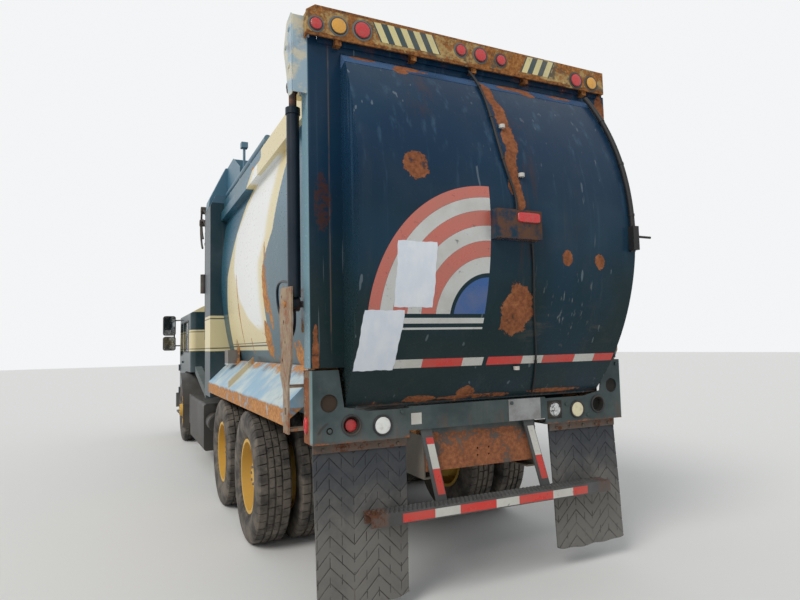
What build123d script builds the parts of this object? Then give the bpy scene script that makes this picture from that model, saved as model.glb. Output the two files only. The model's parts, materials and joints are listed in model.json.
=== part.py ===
# Side-loading garbage truck with a barrel-sided body, a bulged tailgate and a kerb-side lifting arm.
# Millimetres. +X forward, +Y to the truck's left, +Z up. Origin on the ground, at the middle of the box round it.
# Offsets along the truck are counted forward from the rear lamp panels' face, at x = rear_x.
import os
from math import cos, radians, sin, sqrt

from build123d import *

os.makedirs("parts", exist_ok=True)

rear_x = -4360
face_gap = 0.3

# Wheels: 11R22.5 tyres on 8.25 inch rims
tyre_r = 527
tyre_half = 137
tread_half = 112
shoulder_r = 505
bulge_r = 410
bead_r = 287
bead_half = 100
rim_flange_r = 298
rim_band_r = 286
rim_band_t = 14
rim_half = 108
hub_r = 108
disc_t = 22
drum_r = 202
hand_hole_circle_r = 212
hand_hole_r = 26
axle_z = 527
steer_x = rear_x + 7850
tandem_xs = {"fore": rear_x + 3052, "aft": rear_x + 1719}
steer_y = 1020
dual_outer_y = 1083
dual_inner_y = 753
dual_mid_y = (dual_outer_y + dual_inner_y) / 2

# Chassis
rail_y = 432
rail_top = 1000
rail_h = 270
rail_flange = 80
rail_t = 10
rail_rear = rear_x + 30
rail_front = rear_x + 9000
axle_tube_r = 55
kingpin_y = 870
kingpin_r = 20
spindle_r = 40

gearbox_rear = rear_x + 5950

# Cab
cab_rear = rear_x + 7150
cab_front = rear_x + 9150
cab_half = 1085
cab_wall = 36
cab_corner_r = 90
cab_sill_z = 540
cab_deck_z = 1195
eaves_z = 2180
dome_z = 2500
arch_r = 662
tunnel_half = 470
tunnel_z = 1170
floor_z = 1235
footwell_x = steer_x + arch_r + 45
belt_z = 1500
window_top_z = 2060
seat_in = 480
seat_out = cab_half - 125
door_rear = footwell_x - 190
rake_z = 1330
screen_run = 190
hinge_pin_r = 6
hinge_out = 18
door_hinge_zs = (800, 1230)
door_front = cab_front - 130
door_gap = 6
door_sill_z = 610
door_top_z = 2110

# Storage body
body_rear = rear_x + 132
frame_rear = rear_x + 4000
frame_front = rear_x + 4470
body_floor_z = 1085
body_floor_t = 30
skirt_y = 930
skirt_z = 1440
bulge_y = 1060
bulge_z = 2300
eave_y = 985
eave_z = 3150
roof_z = 3300
roof_crown_z = 3345
body_wall = 30
frame_half = 1190
frame_bottom = 1010
frame_top = 3420
portal_half = 860
portal_top = 3060

# Tailgate
gate_half = 1166
gate_inner_half = 955
gate_open_half = 920
gate_flare_half = 1000
gate_bottom = 1215
gate_top = 3420
gate_frame_t = 120
gate_bulge = 400
gate_bulge_z = 2300
gate_skin = 30
ledge_z = gate_top - 60
ledge_out = 122
ledge_drop = 108
hinge_x = rear_x + 420
hinge_z = 3450
hinge_r = 25
ear_y = gate_half - 61
ear_t = 45
rod_eye_x = rear_x + 200
rod_eye_z = 3190
barrel_pin_x = rear_x + 200
barrel_pin_z = 1830
lift_y = gate_half + 34
barrel_r = 40
barrel_len = 1220
lift_pin_r = 20
lift_hose_r = 9
lift_rod_r = 24
lift_eye_r = 44

bar_half = gate_half + 19
bar_x = rear_x - 62
bar_lamp_r = 34
post_y = gate_half - 71
pad_y = gate_half - 31

# Towing points
hitch_z = 870
hitch_dy = 86
hitch_dz = 45
hitch_hole_r = 7
tow_eye_y = 290
tow_eye_x = cab_front - 5
tow_eye_z = 430
tow_eye_r = 20

# Hopper, packer and lifting arm
hopper_front = frame_front + 1880
hopper_half = frame_half - 320
hopper_wall = 30
hopper_floor_z = 1230
hopper_top = 2200
hopper_lip = 1950
arm_x = rear_x + 5550
base_half_x = 100
base_z0 = 1030
base_z1 = 1190
base_wall = 15
base_half_y = 800
beam_gap = 5
beam_half_x = base_half_x - base_wall - beam_gap
mast_y0 = -1080
mast_y1 = -1000
pivot_y = -1040
pivot_z = 1750
pivot_r = 30
link_gap = 10
link_t = 55
grip_y0 = -1200
grip_y1 = -1120
grip_z0 = 750
grip_z1 = 950
grip_half_x = 550
finger_y = -1250
finger_x = 220
finger_pin_r = 18
finger_len = 550


def slab(x0, x1, y0, y1, z0, z1, mode=Mode.ADD):
    """A box between two corners, in the part that is being built."""
    with Locations(((x0 + x1) / 2, (y0 + y1) / 2, (z0 + z1) / 2)):
        Box(abs(x1 - x0), abs(y1 - y0), abs(z1 - z0), mode=mode)


def rod_x(x0, x1, y, z, radius, mode=Mode.ADD):
    """A round bar along X."""
    with Locations(((x0 + x1) / 2, y, z)):
        Cylinder(radius, abs(x1 - x0), rotation=(0, 90, 0), mode=mode)


def rod_y(x, y0, y1, z, radius, mode=Mode.ADD):
    """A round bar along Y."""
    with Locations((x, (y0 + y1) / 2, z)):
        Cylinder(radius, abs(y1 - y0), rotation=(90, 0, 0), mode=mode)


def rod_z(x, y, z0, z1, radius, mode=Mode.ADD):
    """A round bar along Z."""
    with Locations((x, y, (z0 + z1) / 2)):
        Cylinder(radius, abs(z1 - z0), mode=mode)


def side_plate(points, y0, y1, mode=Mode.ADD):
    """A plate with a straight-edged outline in X and Z, between two values of Y."""
    with BuildSketch(Plane.XZ.offset(-min(y0, y1))) as face:
        Polygon(*points, align=None)
    extrude(face.sketch, amount=-abs(y1 - y0), mode=mode)


def cross_plate(points, x0, x1, mode=Mode.ADD):
    """A plate with a straight-edged outline in Y and Z, between two values of X."""
    with BuildSketch(Plane.YZ.offset(min(x0, x1))) as face:
        Polygon(*points, align=None)
    extrude(face.sketch, amount=abs(x1 - x0), mode=mode)


def flat_plate(points, z0, z1, mode=Mode.ADD):
    """A plate with a straight-edged outline in X and Y, between two values of Z."""
    with BuildSketch(Plane.XY.offset(min(z0, z1))) as face:
        Polygon(*points, align=None)
    extrude(face.sketch, amount=abs(z1 - z0), mode=mode)


def hose(points, radius):
    """A round hose along a smooth curve through points."""
    with BuildLine() as path:
        Spline(*points)
    run = path.edges()[0]
    with BuildSketch(Plane(origin=run @ 0, z_dir=run % 0)) as section:
        Circle(radius)
    sweep(section.sketch, path=run)


def save(part, name):
    """Labels a finished piece and writes it."""
    part.label = name
    export_step(part, f"parts/{name}.step")


def turned(x, outlines, mode=Mode.ADD):
    """Solids turned about an axle's centre line from outlines of (radius, y)."""
    plane = Plane(origin=(x, 0, axle_z), x_dir=(0, 0, 1), z_dir=(-1, 0, 0))
    with BuildSketch(plane) as section:
        for outline in outlines:
            Polygon(*outline, align=None)
    revolve(section.sketch, axis=Axis((x, 0, axle_z), (0, 1, 0)), mode=mode)


def tyre_outline(y):
    """Half section of a tyre whose middle is at y, as (radius, y)."""
    half = [
        (bead_r, bead_half),
        (rim_flange_r + 1.5, bead_half),
        (rim_flange_r + 28, bead_half + 18),
        (bulge_r, tyre_half),
        (shoulder_r - 45, tyre_half - 8),
        (shoulder_r, tread_half + 8),
        (tyre_r - 4, tread_half - 12),
        (tyre_r, tread_half / 2),
    ]
    near = [(r, y + w) for r, w in half]
    far = [(r, y - w) for r, w in reversed(half)]
    return near + far


def rim_outline(y):
    """Section of a rim band whose middle is at y, as (radius, y)."""
    r0, r1, w = rim_band_r - rim_band_t, rim_band_r, rim_half
    return [
        (r0, y - w),
        (rim_flange_r, y - w),
        (rim_flange_r, y - w + 7),
        (r1, y - w + 7),
        (r1, y + w - 7),
        (rim_flange_r, y + w - 7),
        (rim_flange_r, y + w),
        (r0, y + w),
    ]


def stud_and_hand_holes(x, y0, y1):
    """Hand holes through a wheel's disc, between two values of Y."""
    plane = Plane(origin=(x, min(y0, y1), axle_z), x_dir=(1, 0, 0), z_dir=(0, 1, 0))
    with BuildSketch(plane) as holes:
        with PolarLocations(hand_hole_circle_r, 5):
            Circle(hand_hole_r)
    extrude(holes.sketch, amount=abs(y1 - y0), mode=Mode.SUBTRACT)


# Front wheels: one tyre on a disc that stands proud of its rim
for name, s in (("left", 1), ("right", -1)):
    y = steer_y * s
    with BuildPart() as tyre:
        turned(steer_x, [tyre_outline(y)])
    save(tyre.part, f"tyre_front_{name}")

    disc_y = y + s * 95
    with BuildPart() as rim:
        turned(steer_x, [rim_outline(y)])
        turned(
            steer_x,
            [
                [
                    (rim_band_r - 8, y + s * 20),
                    (rim_band_r - 8, y + s * 45),
                    (235, disc_y),
                    (hub_r + 4, disc_y),
                    (hub_r - 12, disc_y + s * 75),
                    (spindle_r + face_gap, disc_y + s * 75),
                    (spindle_r + face_gap, y - s * 62),
                    (drum_r - 14, y - s * 62),
                    (drum_r - 14, y + s * 30),
                    (hub_r + 4, disc_y - s * disc_t),
                    (225, disc_y - s * disc_t),
                ]
            ],
        )
        stud_and_hand_holes(steer_x, y + s * 30, disc_y + s * 5)
        rod_y(steer_x, disc_y + s * 60, disc_y + s * 76, axle_z, hub_r - 15)
    save(rim.part, f"rim_front_{name}")

# Tandem wheels: two tyres on a pair of rims whose discs meet between them
for axle, x in tandem_xs.items():
    for name, s in (("left", 1), ("right", -1)):
        outer, inner, mid = s * dual_outer_y, s * dual_inner_y, s * dual_mid_y
        with BuildPart() as tyre:
            turned(x, [tyre_outline(outer), tyre_outline(inner)])
        save(tyre.part, f"tyres_{axle}_{name}")

        with BuildPart() as rim:
            turned(x, [rim_outline(outer), rim_outline(inner)])
            turned(
                x,
                [
                    [
                        (rim_band_r - 8, outer - s * 10),
                        (rim_band_r - 8, outer + s * 14),
                        (225, mid + s * disc_t),
                        (hub_r, mid + s * disc_t),
                        (hub_r - 10, outer + s * 60),
                        (axle_tube_r + face_gap, outer + s * 60),
                        (axle_tube_r + face_gap, inner - s * 118),
                        (drum_r, inner - s * 118),
                        (drum_r, mid - s * disc_t),
                        (225, mid - s * disc_t),
                        (rim_band_r - 8, inner - s * 14),
                        (rim_band_r - 8, inner + s * 10),
                        (235, mid),
                    ]
                ],
            )
            rod_y(x, outer + s * 36, outer + s * 61, axle_z, hub_r - 12)
            stud_and_hand_holes(x, mid - s * 60, mid + s * 60)
        save(rim.part, f"rims_{axle}_{name}")

# Chassis rails
with BuildPart() as rails:
    for s in (1, -1):
        slab(rail_rear, rail_front, s * rail_y, s * (rail_y - rail_t), rail_top - rail_h, rail_top)
        for z0 in (rail_top - rail_h, rail_top - rail_t):
            slab(rail_rear, rail_front, s * rail_y, s * (rail_y - rail_flange), z0, z0 + rail_t)
    # Cab mounts: place along the rails, and the cab's underside there
    for x, top in ((cab_rear + 40, cab_deck_z), (cab_front - 450, tunnel_z)):
        for s in (1, -1):
            slab(x, x + 80, s * 352, s * 430, rail_top, top)
save(rails.part, "frame_rails")

# Cross members between the rails' webs, each a channel
with BuildPart() as members:
    web_y = rail_y - rail_t
    for offset in (60, 1000, 2385, 3900, 5000, 5800):
        x = rear_x + offset
        for z0 in (rail_top - rail_h + 50, rail_top - 60):
            slab(x, x + 90, -web_y, web_y, z0, z0 + rail_t)
        slab(x, x + rail_t, -web_y, web_y, rail_top - rail_h + 50, rail_top - 50)
    slab(rail_front - 60, rail_front, -web_y, web_y, rail_top - rail_h + 20, rail_top - 20)
save(members.part, "cross_members")

# Front axle beam with its leaf springs
spring_y = 400
with BuildPart() as front_axle:
    slab(steer_x - 45, steer_x + 45, -600, 600, 400, 490)
    for s in (1, -1):
        side = [(s * 600, 400), (s * 600, 490), (s * (kingpin_y - 30), 580), (s * (kingpin_y - 30), 480)]
        cross_plate(side, steer_x - 40, steer_x + 40)
        rod_z(steer_x, s * kingpin_y, axle_z - 85, axle_z + 85, 44)
        rod_z(steer_x, s * kingpin_y, axle_z - 90, axle_z + 90, kingpin_r + face_gap, Mode.SUBTRACT)
        slab(steer_x - 60, steer_x + 60, s * (spring_y - 45), s * (spring_y + 45), 488, 530)
save(front_axle.part, "front_axle")

with BuildPart() as front_springs:
    for s in (1, -1):
        y0, y1 = s * (spring_y - 38), s * (spring_y + 38)
        for half, z in ((640, 582), (520, 568), (400, 554), (280, 540)):
            slab(steer_x - half, steer_x + half, y0, y1, z - 10, z + 4)
        for end in (-1, 1):
            x = steer_x + end * 620
            slab(x - 30, x + 30, y0, y1, 584, rail_top - rail_h)
        slab(steer_x - 50, steer_x + 50, y0, y1, 530, 532)
save(front_springs.part, "front_springs")

# Knuckles: a yoke round each end of the axle beam, with the wheel's spindle
for name, s in (("left", 1), ("right", -1)):
    inner = s * (kingpin_y + 56)
    outer = s * (steer_y - 72)
    with BuildPart() as knuckle:
        rod_z(steer_x, s * kingpin_y, axle_z - 118, axle_z + 118, kingpin_r)
        for z0 in (axle_z - 118, axle_z + 90):
            slab(steer_x - 42, steer_x + 42, s * (kingpin_y - 40), inner, z0, z0 + 28)
        slab(steer_x - 60, steer_x + 60, inner, outer, axle_z - 118, axle_z + 118)
        rod_y(steer_x, outer, s * (steer_y + 140), axle_z, spindle_r)
    save(knuckle.part, f"knuckle_{name}")

# Tandem axle housings and the shafts that drive them
with BuildPart() as driveline:
    for x in tandem_xs.values():
        rod_y(x, -(dual_outer_y + 20), dual_outer_y + 20, axle_z, axle_tube_r)
        rod_y(x, -(dual_inner_y - 150), dual_inner_y - 150, axle_z, axle_tube_r + 20)
        with Locations((x, 0, axle_z)):
            Sphere(195)
        rod_x(x + 150, x + 330, 0, axle_z + 20, 90)
        for s in (1, -1):
            rod_x(x - 260, x - 110, s * 300, axle_z + 10, 78)
            slab(x - 112, x - 30, s * 280, s * 320, axle_z - 30, axle_z + 50)
    rod_x(tandem_xs["aft"] + 320, tandem_xs["fore"] - 180, 0, axle_z + 20, 45)
    rod_x(tandem_xs["fore"] + 320, gearbox_rear, 0, axle_z + 20, 50)
save(driveline.part, "driveline")

# Walking-beam suspension of the tandem
with BuildPart() as tandem_beams:
    mid_x = (tandem_xs["fore"] + tandem_xs["aft"]) / 2
    reach = (tandem_xs["fore"] - tandem_xs["aft"]) / 2
    beam_top = axle_z - axle_tube_r - 20 - face_gap
    for s in (1, -1):
        y0, y1 = s * 455, s * 545
        beam = [
            (mid_x - reach + 130, 400),
            (mid_x, 330),
            (mid_x + reach - 130, 400),
            (mid_x + reach + 60, 400),
            (mid_x + reach + 60, beam_top),
            (mid_x - reach - 60, beam_top),
            (mid_x - reach - 60, 400),
        ]
        side_plate(beam, y0, y1)
        saddle = [(mid_x - 230, 880), (mid_x - 90, beam_top), (mid_x + 90, beam_top), (mid_x + 230, 880)]
        side_plate(saddle, s * rail_y, y1)
    rod_y(mid_x, -545, 545, 400, 45)
save(tandem_beams.part, "tandem_beams")

# Engine and gearbox as one plain block
with BuildPart() as engine:
    slab(rear_x + 6800, rear_x + 7990, -340, 340, rail_top - rail_h + 110, 1140)
    slab(rear_x + 6800, rear_x + 7790, -280, 280, 640, rail_top - rail_h + 110)
    rod_x(gearbox_rear, rear_x + 6800, 0, 720, 190)
    slab(rear_x + 8120, rear_x + 8600, -340, 340, 640, 1140)
    slab(rear_x + 7990, rear_x + 8120, -120, 120, 760, 1000)
    # Feet on the rails
    for offset in (6900, 7600, 8300):
        for s in (1, -1):
            slab(rear_x + offset, rear_x + offset + 80, s * 330, s * 425, rail_top, rail_top + 30)
save(engine.part, "engine_block")


def cab_form(inset, floor):
    """Outer form of the cab, or of the space in it when inset is a wall's thickness."""
    x0, x1 = cab_rear + inset, cab_front - inset
    half = cab_half - inset
    eaves, dome = eaves_z - inset / 2, dome_z - inset
    with BuildSketch(Plane.YZ.offset(x0)) as front:
        with BuildLine():
            Polyline((-half, eaves), (-half, floor), (half, floor), (half, eaves))
            ThreePointArc((half, eaves), (0, dome), (-half, eaves))
        make_face()
    extrude(front.sketch, amount=x1 - x0)
    top = dome - eaves
    with BuildSketch(Plane.XZ.offset(half + 10)) as side:
        with BuildLine():
            Polyline((x0, eaves + top * 0.35), (x0, floor), (x1, floor), (x1, rake_z), (x1 - screen_run, eaves))
            ThreePointArc((x1 - screen_run, eaves), (x0 + 900, dome), (x0, eaves + top * 0.35))
        make_face()
    extrude(side.sketch, amount=-2 * (half + 10), mode=Mode.INTERSECT)


def raked(x, z):
    """Leans x back with the windscreen above its foot."""
    return x - max(z - rake_z, 0) * screen_run / (eaves_z - rake_z)


def door_outline(gap):
    """Outline of a door in X and Z, grown by a gap; the wheel arch is cut from it afterwards."""
    x0, x1 = door_rear - gap, door_front + gap
    z0, z1 = door_sill_z - gap, door_top_z + gap
    return [(x0, z0), (x1, z0), (x1, rake_z), (raked(x1, z1), z1), (x0, z1)]


door_windows = [
    (door_rear + 75, belt_z),
    (raked(door_front - 60, belt_z - 40), belt_z - 40),
    (raked(door_front - 60, window_top_z), window_top_z),
    (door_rear + 75, window_top_z),
]
arch_lip = 40

with BuildPart() as cab:
    cab_form(0, cab_sill_z)
    # Rounded corners in plan, outside only
    with BuildSketch(Plane.XY.offset(cab_sill_z - 10)) as plan:
        with Locations(((cab_rear + cab_front) / 2, 0)):
            RectangleRounded(cab_front - cab_rear, 2 * cab_half, cab_corner_r)
    extrude(plan.sketch, amount=dome_z - cab_sill_z + 20, mode=Mode.INTERSECT)
    # Wheel arches and the tunnel over the rails
    slab(cab_rear - 10, steer_x, -cab_half - 10, cab_half + 10, cab_sill_z - 10, cab_deck_z, Mode.SUBTRACT)
    rod_y(steer_x, -cab_half - 10, cab_half + 10, axle_z, arch_r, Mode.SUBTRACT)
    slab(steer_x, cab_front + 10, -tunnel_half, tunnel_half, cab_sill_z - 10, tunnel_z, Mode.SUBTRACT)

with BuildPart() as cab_space:
    cab_form(cab_wall, floor_z)

with BuildPart() as cab_shell:
    add(cab.part)
    add(cab_space.part, mode=Mode.SUBTRACT)
    for s in (1, -1):
        well_y = s * (tunnel_half + cab_wall)
        side_y = s * (cab_half - cab_wall)
        slab(footwell_x, cab_front - cab_wall, well_y, side_y, cab_sill_z + cab_wall, floor_z + 1, Mode.SUBTRACT)
        # Doorway, round the lip of the wheel arch
        side_y0, side_y1 = s * (cab_half - cab_wall - 5), s * (cab_half + 5)
        with BuildSketch(Plane.XZ.offset(-min(side_y0, side_y1))) as doorway:
            Polygon(*door_outline(door_gap), align=None)
            with Locations((steer_x, axle_z)):
                Circle(arch_r + arch_lip, mode=Mode.SUBTRACT)
        extrude(doorway.sketch, amount=-abs(side_y1 - side_y0), mode=Mode.SUBTRACT)
        # Small window behind the door
        slab(
            cab_rear + 330,
            door_rear - 110,
            s * (cab_half - cab_wall - 5),
            s * (cab_half + 5),
            belt_z + 40,
            window_top_z,
            Mode.SUBTRACT,
        )
    # Windscreen in two panes, and the back window
    for s in (1, -1):
        slab(cab_front - 260, cab_front + 5, s * 30, s * (cab_half - 110), 1420, 2120, Mode.SUBTRACT)
    slab(cab_rear - 5, cab_rear + cab_wall + 5, -420, 420, belt_z + 120, window_top_z, Mode.SUBTRACT)
    # Hinge pins of the doors, between lugs on the front posts
    pin_x = door_front - 4
    for s in (1, -1):
        pin_y = s * (cab_half + hinge_out)
        lug = [(-8, -8), (-8, 8), (8, 12), (44, -hinge_out), (12, -hinge_out)]
        for z in door_hinge_zs:
            rod_z(pin_x, pin_y, z - 60, z + 60, hinge_pin_r)
            for z0 in (z - 60, z + 46):
                flat_plate([(pin_x + x, pin_y + s * y) for x, y in lug], z0, z0 + 14)
save(cab_shell.part, "cab_shell")

# Doors: one closed panel each, its window cut
for name, s in (("left", 1), ("right", -1)):
    with BuildPart() as door:
        side_plate(door_outline(0), s * (cab_half - cab_wall + 1), s * cab_half)
        rod_y(steer_x, s * (cab_half - 60), s * (cab_half + 5), axle_z, arch_r + arch_lip + door_gap, Mode.SUBTRACT)
        side_plate(door_windows, s * (cab_half - cab_wall - 20), s * (cab_half + 20), Mode.SUBTRACT)
        slab(door_rear + 40, door_rear + 190, s * cab_half, s * (cab_half + 28), 1330, 1362)
        for z in door_hinge_zs:
            rod_z(pin_x, s * (cab_half + hinge_out), z - 45, z + 45, 12)
            slab(door_front - 60, door_front - 10, s * cab_half, s * (cab_half + 12), z - 40, z + 40)
            rod_z(pin_x, s * (cab_half + hinge_out), z - 50, z + 50, hinge_pin_r + face_gap, Mode.SUBTRACT)
    save(door.part, f"door_{name}")
    with BuildPart() as pane:
        side_plate(
            [(x, z) for x, z in door_windows],
            s * (cab_half - cab_wall / 2 - 3),
            s * (cab_half - cab_wall / 2 + 3),
        )
    save(pane.part, f"door_glass_{name}")

# Fixed glass: the windscreen's panes, the side lights and the back light
with BuildPart() as glass:
    for s in (1, -1):
        y0, y1 = s * (30 + face_gap), s * (cab_half - 110 - face_gap)
        low, high = 1420 + face_gap, 2120 - face_gap
        base = cab_front - 18
        face = [
            (raked(base, low), low),
            (raked(base, high), high),
            (raked(base - 7, high), high),
            (raked(base - 7, low), low),
        ]
        side_plate(face, y0, y1)
        slab(
            cab_rear + 330 + face_gap,
            door_rear - 110 - face_gap,
            s * (cab_half - cab_wall / 2 - 3),
            s * (cab_half - cab_wall / 2 + 3),
            belt_z + 40 + face_gap,
            window_top_z - face_gap,
        )
    slab(cab_rear + 15, cab_rear + 21, -420 + face_gap, 420 - face_gap, belt_z + 120 + face_gap, window_top_z - face_gap)
save(glass.part, "cab_glass")

# Seats, dash and steering column
with BuildPart() as interior:
    for s in (1, -1):
        y0, y1 = s * seat_in, s * seat_out
        slab(cab_rear + 560, cab_rear + 1060, y0, y1, floor_z, floor_z + 160)
        slab(cab_rear + 520, cab_rear + 1080, y0, y1, floor_z + 160, floor_z + 270)
        back = [
            (cab_rear + 420, floor_z + 750),
            (cab_rear + 520, floor_z + 160),
            (cab_rear + 640, floor_z + 160),
            (cab_rear + 520, floor_z + 750),
        ]
        side_plate(back, y0, y1)
    dash_x = cab_front - 60
    dash = [(dash_x, floor_z), (dash_x, 1390), (dash_x - 260, 1420), (dash_x - 340, 1330), (dash_x - 300, floor_z)]
    side_plate(dash, -cab_half + 85, cab_half - 85)
    wheel_plane = Plane(origin=(dash_x - 390, (seat_in + seat_out) / 2, 1440), z_dir=(-0.42, 0, 0.91))
    with BuildSketch(wheel_plane):
        Circle(225)
        Circle(200, mode=Mode.SUBTRACT)
        Rectangle(410, 36)
        Circle(50)
    extrude(amount=22)
    with BuildSketch(wheel_plane):
        Circle(30)
    extrude(amount=-115)
save(interior.part, "cab_interior")

# Bumper and grille
with BuildPart() as bumper:
    bumper_half = cab_half + 60
    bumper_plan = [
        (cab_front, -bumper_half),
        (cab_front + 22, -bumper_half),
        (cab_front + 50, -bumper_half + 160),
        (cab_front + 50, bumper_half - 160),
        (cab_front + 22, bumper_half),
        (cab_front, bumper_half),
    ]
    flat_plate(bumper_plan, 470, 740)
    for s in (1, -1):
        slab(rail_front, cab_front, s * 250, s * 330, 640, 800)
        slab(cab_front - 60, cab_front + 45, s * (tow_eye_y - 15), s * (tow_eye_y + 15), 390, 475)
        slab(cab_front - 60, cab_front, s * (tow_eye_y - 15), s * (tow_eye_y + 15), 470, 660)
        rod_y(tow_eye_x, s * (tow_eye_y - 20), s * (tow_eye_y + 20), tow_eye_z, tow_eye_r, Mode.SUBTRACT)
    for i in range(9):
        z = 790 + i * 55
        slab(cab_front, cab_front + 22, -430, 430, z, z + 26)
    for y in (-430, 0, 430):
        slab(cab_front, cab_front + 14, y - 12, y + 12, 740, 1256)
save(bumper.part, "front_bumper")

with BuildPart() as headlamps:
    for s in (1, -1):
        for y in (640, 850):
            rod_x(cab_front, cab_front + 45, s * y, 870, 92)
        slab(cab_front, cab_front + 30, s * 560, s * 940, 980, 1040)
save(headlamps.part, "headlamps")

# Mirrors on arms at the front pillars
with BuildPart() as mirrors:
    for s in (1, -1):
        x = cab_front - 30
        mirror_in, mirror_out = cab_half + 80, cab_half + 310
        for z0, z1 in ((1560, 1830), (1850, 2230)):
            with BuildSketch(Plane.YZ.offset(x - 50)) as housing:
                with Locations((s * (mirror_in + mirror_out) / 2, (z0 + z1) / 2)):
                    RectangleRounded(mirror_out - mirror_in, z1 - z0, 45)
            extrude(housing.sketch, amount=100)
        slab(x - 12, x + 12, s * (mirror_in + 10), s * (mirror_in + 34), 1600, 2190)
        # Arms: height, and how far behind the front they leave the cab's side
        for z, back in ((1640, 115), (2130, 230)):
            arm = [
                (cab_front - back, s * cab_half),
                (cab_front - back + 24, s * cab_half),
                (x + 12, s * (mirror_in + 20)),
                (x - 12, s * (mirror_in + 20)),
            ]
            flat_plate(arm, z, z + 24)
save(mirrors.part, "mirrors")

# Front mudguards, their flaps, and the cab steps
guard_r = 632
with BuildPart() as guards:
    for s in (1, -1):
        guard_in, guard_out = s * (steer_y - 150), s * (steer_y + 175)
        plane = Plane.XZ.offset(-min(guard_in, guard_out))
        with BuildSketch(plane):
            with BuildLine():
                rear_out = (steer_x - guard_r - 14, axle_z + 120)
                p_mid = (steer_x - (guard_r + 14) * cos(radians(50)), axle_z + (guard_r + 14) * sin(radians(50)))
                q_mid = (steer_x - guard_r * cos(radians(50)), axle_z + guard_r * sin(radians(50)))
                top_out = (steer_x - 60, axle_z + sqrt((guard_r + 14) ** 2 - 60**2))
                top_in = (steer_x - 60, axle_z + sqrt(guard_r**2 - 60**2))
                low_out = (steer_x - sqrt((guard_r + 14) ** 2 - 120**2), axle_z + 120)
                low_in = (steer_x - sqrt(guard_r**2 - 120**2), axle_z + 120)
                ThreePointArc(low_out, p_mid, top_out)
                Line(top_out, top_in)
                ThreePointArc(top_in, q_mid, low_in)
                Line(low_in, low_out)
            make_face()
        extrude(amount=-abs(guard_out - guard_in))
        slab(steer_x - guard_r - 14, steer_x - guard_r + 6, guard_in, guard_out, 290, axle_z + 150)
        slab(steer_x - 300, steer_x - 240, s * rail_y, s * (rail_y + 16), 900, 1110)
        slab(steer_x - 300, steer_x - 240, s * rail_y, guard_in + s * 10, 1085, 1110)
        slab(footwell_x + 20, door_front - 60, s * (cab_half - 325), s * (cab_half + 65), 400, 430)
        for x in (footwell_x + 30, door_front - 90):
            slab(x, x + 20, s * (cab_half - 285), s * (cab_half - 25), 430, cab_sill_z)
save(guards.part, "cab_guards")


def body_section(inset, z_floor):
    """Closed outline of the storage body in Y and Z: skirt, bulged side, eave and crowned roof."""
    skirt, bulge, eave = skirt_y - inset, bulge_y - inset, eave_y - inset
    with BuildLine() as outline:
        Line((-skirt, z_floor), (skirt, z_floor))
        Line((skirt, z_floor), (skirt, skirt_z))
        ThreePointArc((skirt, skirt_z), (bulge, bulge_z), (eave, eave_z - inset / 2))
        Line((eave, eave_z - inset / 2), (eave - 40, roof_z - inset))
        ThreePointArc((eave - 40, roof_z - inset), (0, roof_crown_z - inset), (-eave + 40, roof_z - inset))
        Line((-eave + 40, roof_z - inset), (-eave, eave_z - inset / 2))
        ThreePointArc((-eave, eave_z - inset / 2), (-bulge, bulge_z), (-skirt, skirt_z))
        Line((-skirt, skirt_z), (-skirt, z_floor))
    make_face(outline.edges())


# Storage body: a barrel-sided tube, open at both ends
with BuildPart() as body:
    with BuildSketch(Plane.YZ.offset(body_rear)):
        body_section(0, body_floor_z)
    extrude(amount=frame_rear - body_rear)
    for s in (1, -1):
        slab(body_rear, body_rear + 150, s * 900, s * post_y, body_floor_z, eave_z + 60)
        # Stepped rails along the roof's edge
        slab(body_rear + 150, frame_rear, s * 940, s * 1065, eave_z - 40, eave_z + 60)
        slab(body_rear, frame_rear, s * 925, s * 1030, eave_z + 60, roof_z + 50)
        # Hinge lugs of the tailgate, and the pins of its lift cylinders
        lug = [
            (hinge_x - 110, roof_z - 30),
            (hinge_x - 60, hinge_z + 20),
            (hinge_x - 20, hinge_z + 60),
            (hinge_x + 20, hinge_z + 60),
            (hinge_x + 60, hinge_z + 20),
            (hinge_x + 160, roof_z - 30),
        ]
        side_plate(lug, s * 1000, s * (ear_y - 8))
        rod_y(hinge_x, s * 1000, s * (ear_y + ear_t + 6), hinge_z, hinge_r)
        slab(body_rear, body_rear + 150, s * post_y, s * pad_y, barrel_pin_z - 170, barrel_pin_z + 100)
        rod_y(barrel_pin_x, s * post_y, s * (lift_y + 66), barrel_pin_z, lift_pin_r)
    with BuildSketch(Plane.YZ.offset(body_rear - 1)):
        body_section(body_wall, body_floor_z + body_floor_t)
    extrude(amount=frame_rear - body_rear + 2, mode=Mode.SUBTRACT)
    # Sills that stand on the chassis rails
    for s in (1, -1):
        slab(body_rear, frame_rear, s * 350, s * 430, rail_top, body_floor_z)
save(body.part, "body_shell")

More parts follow.
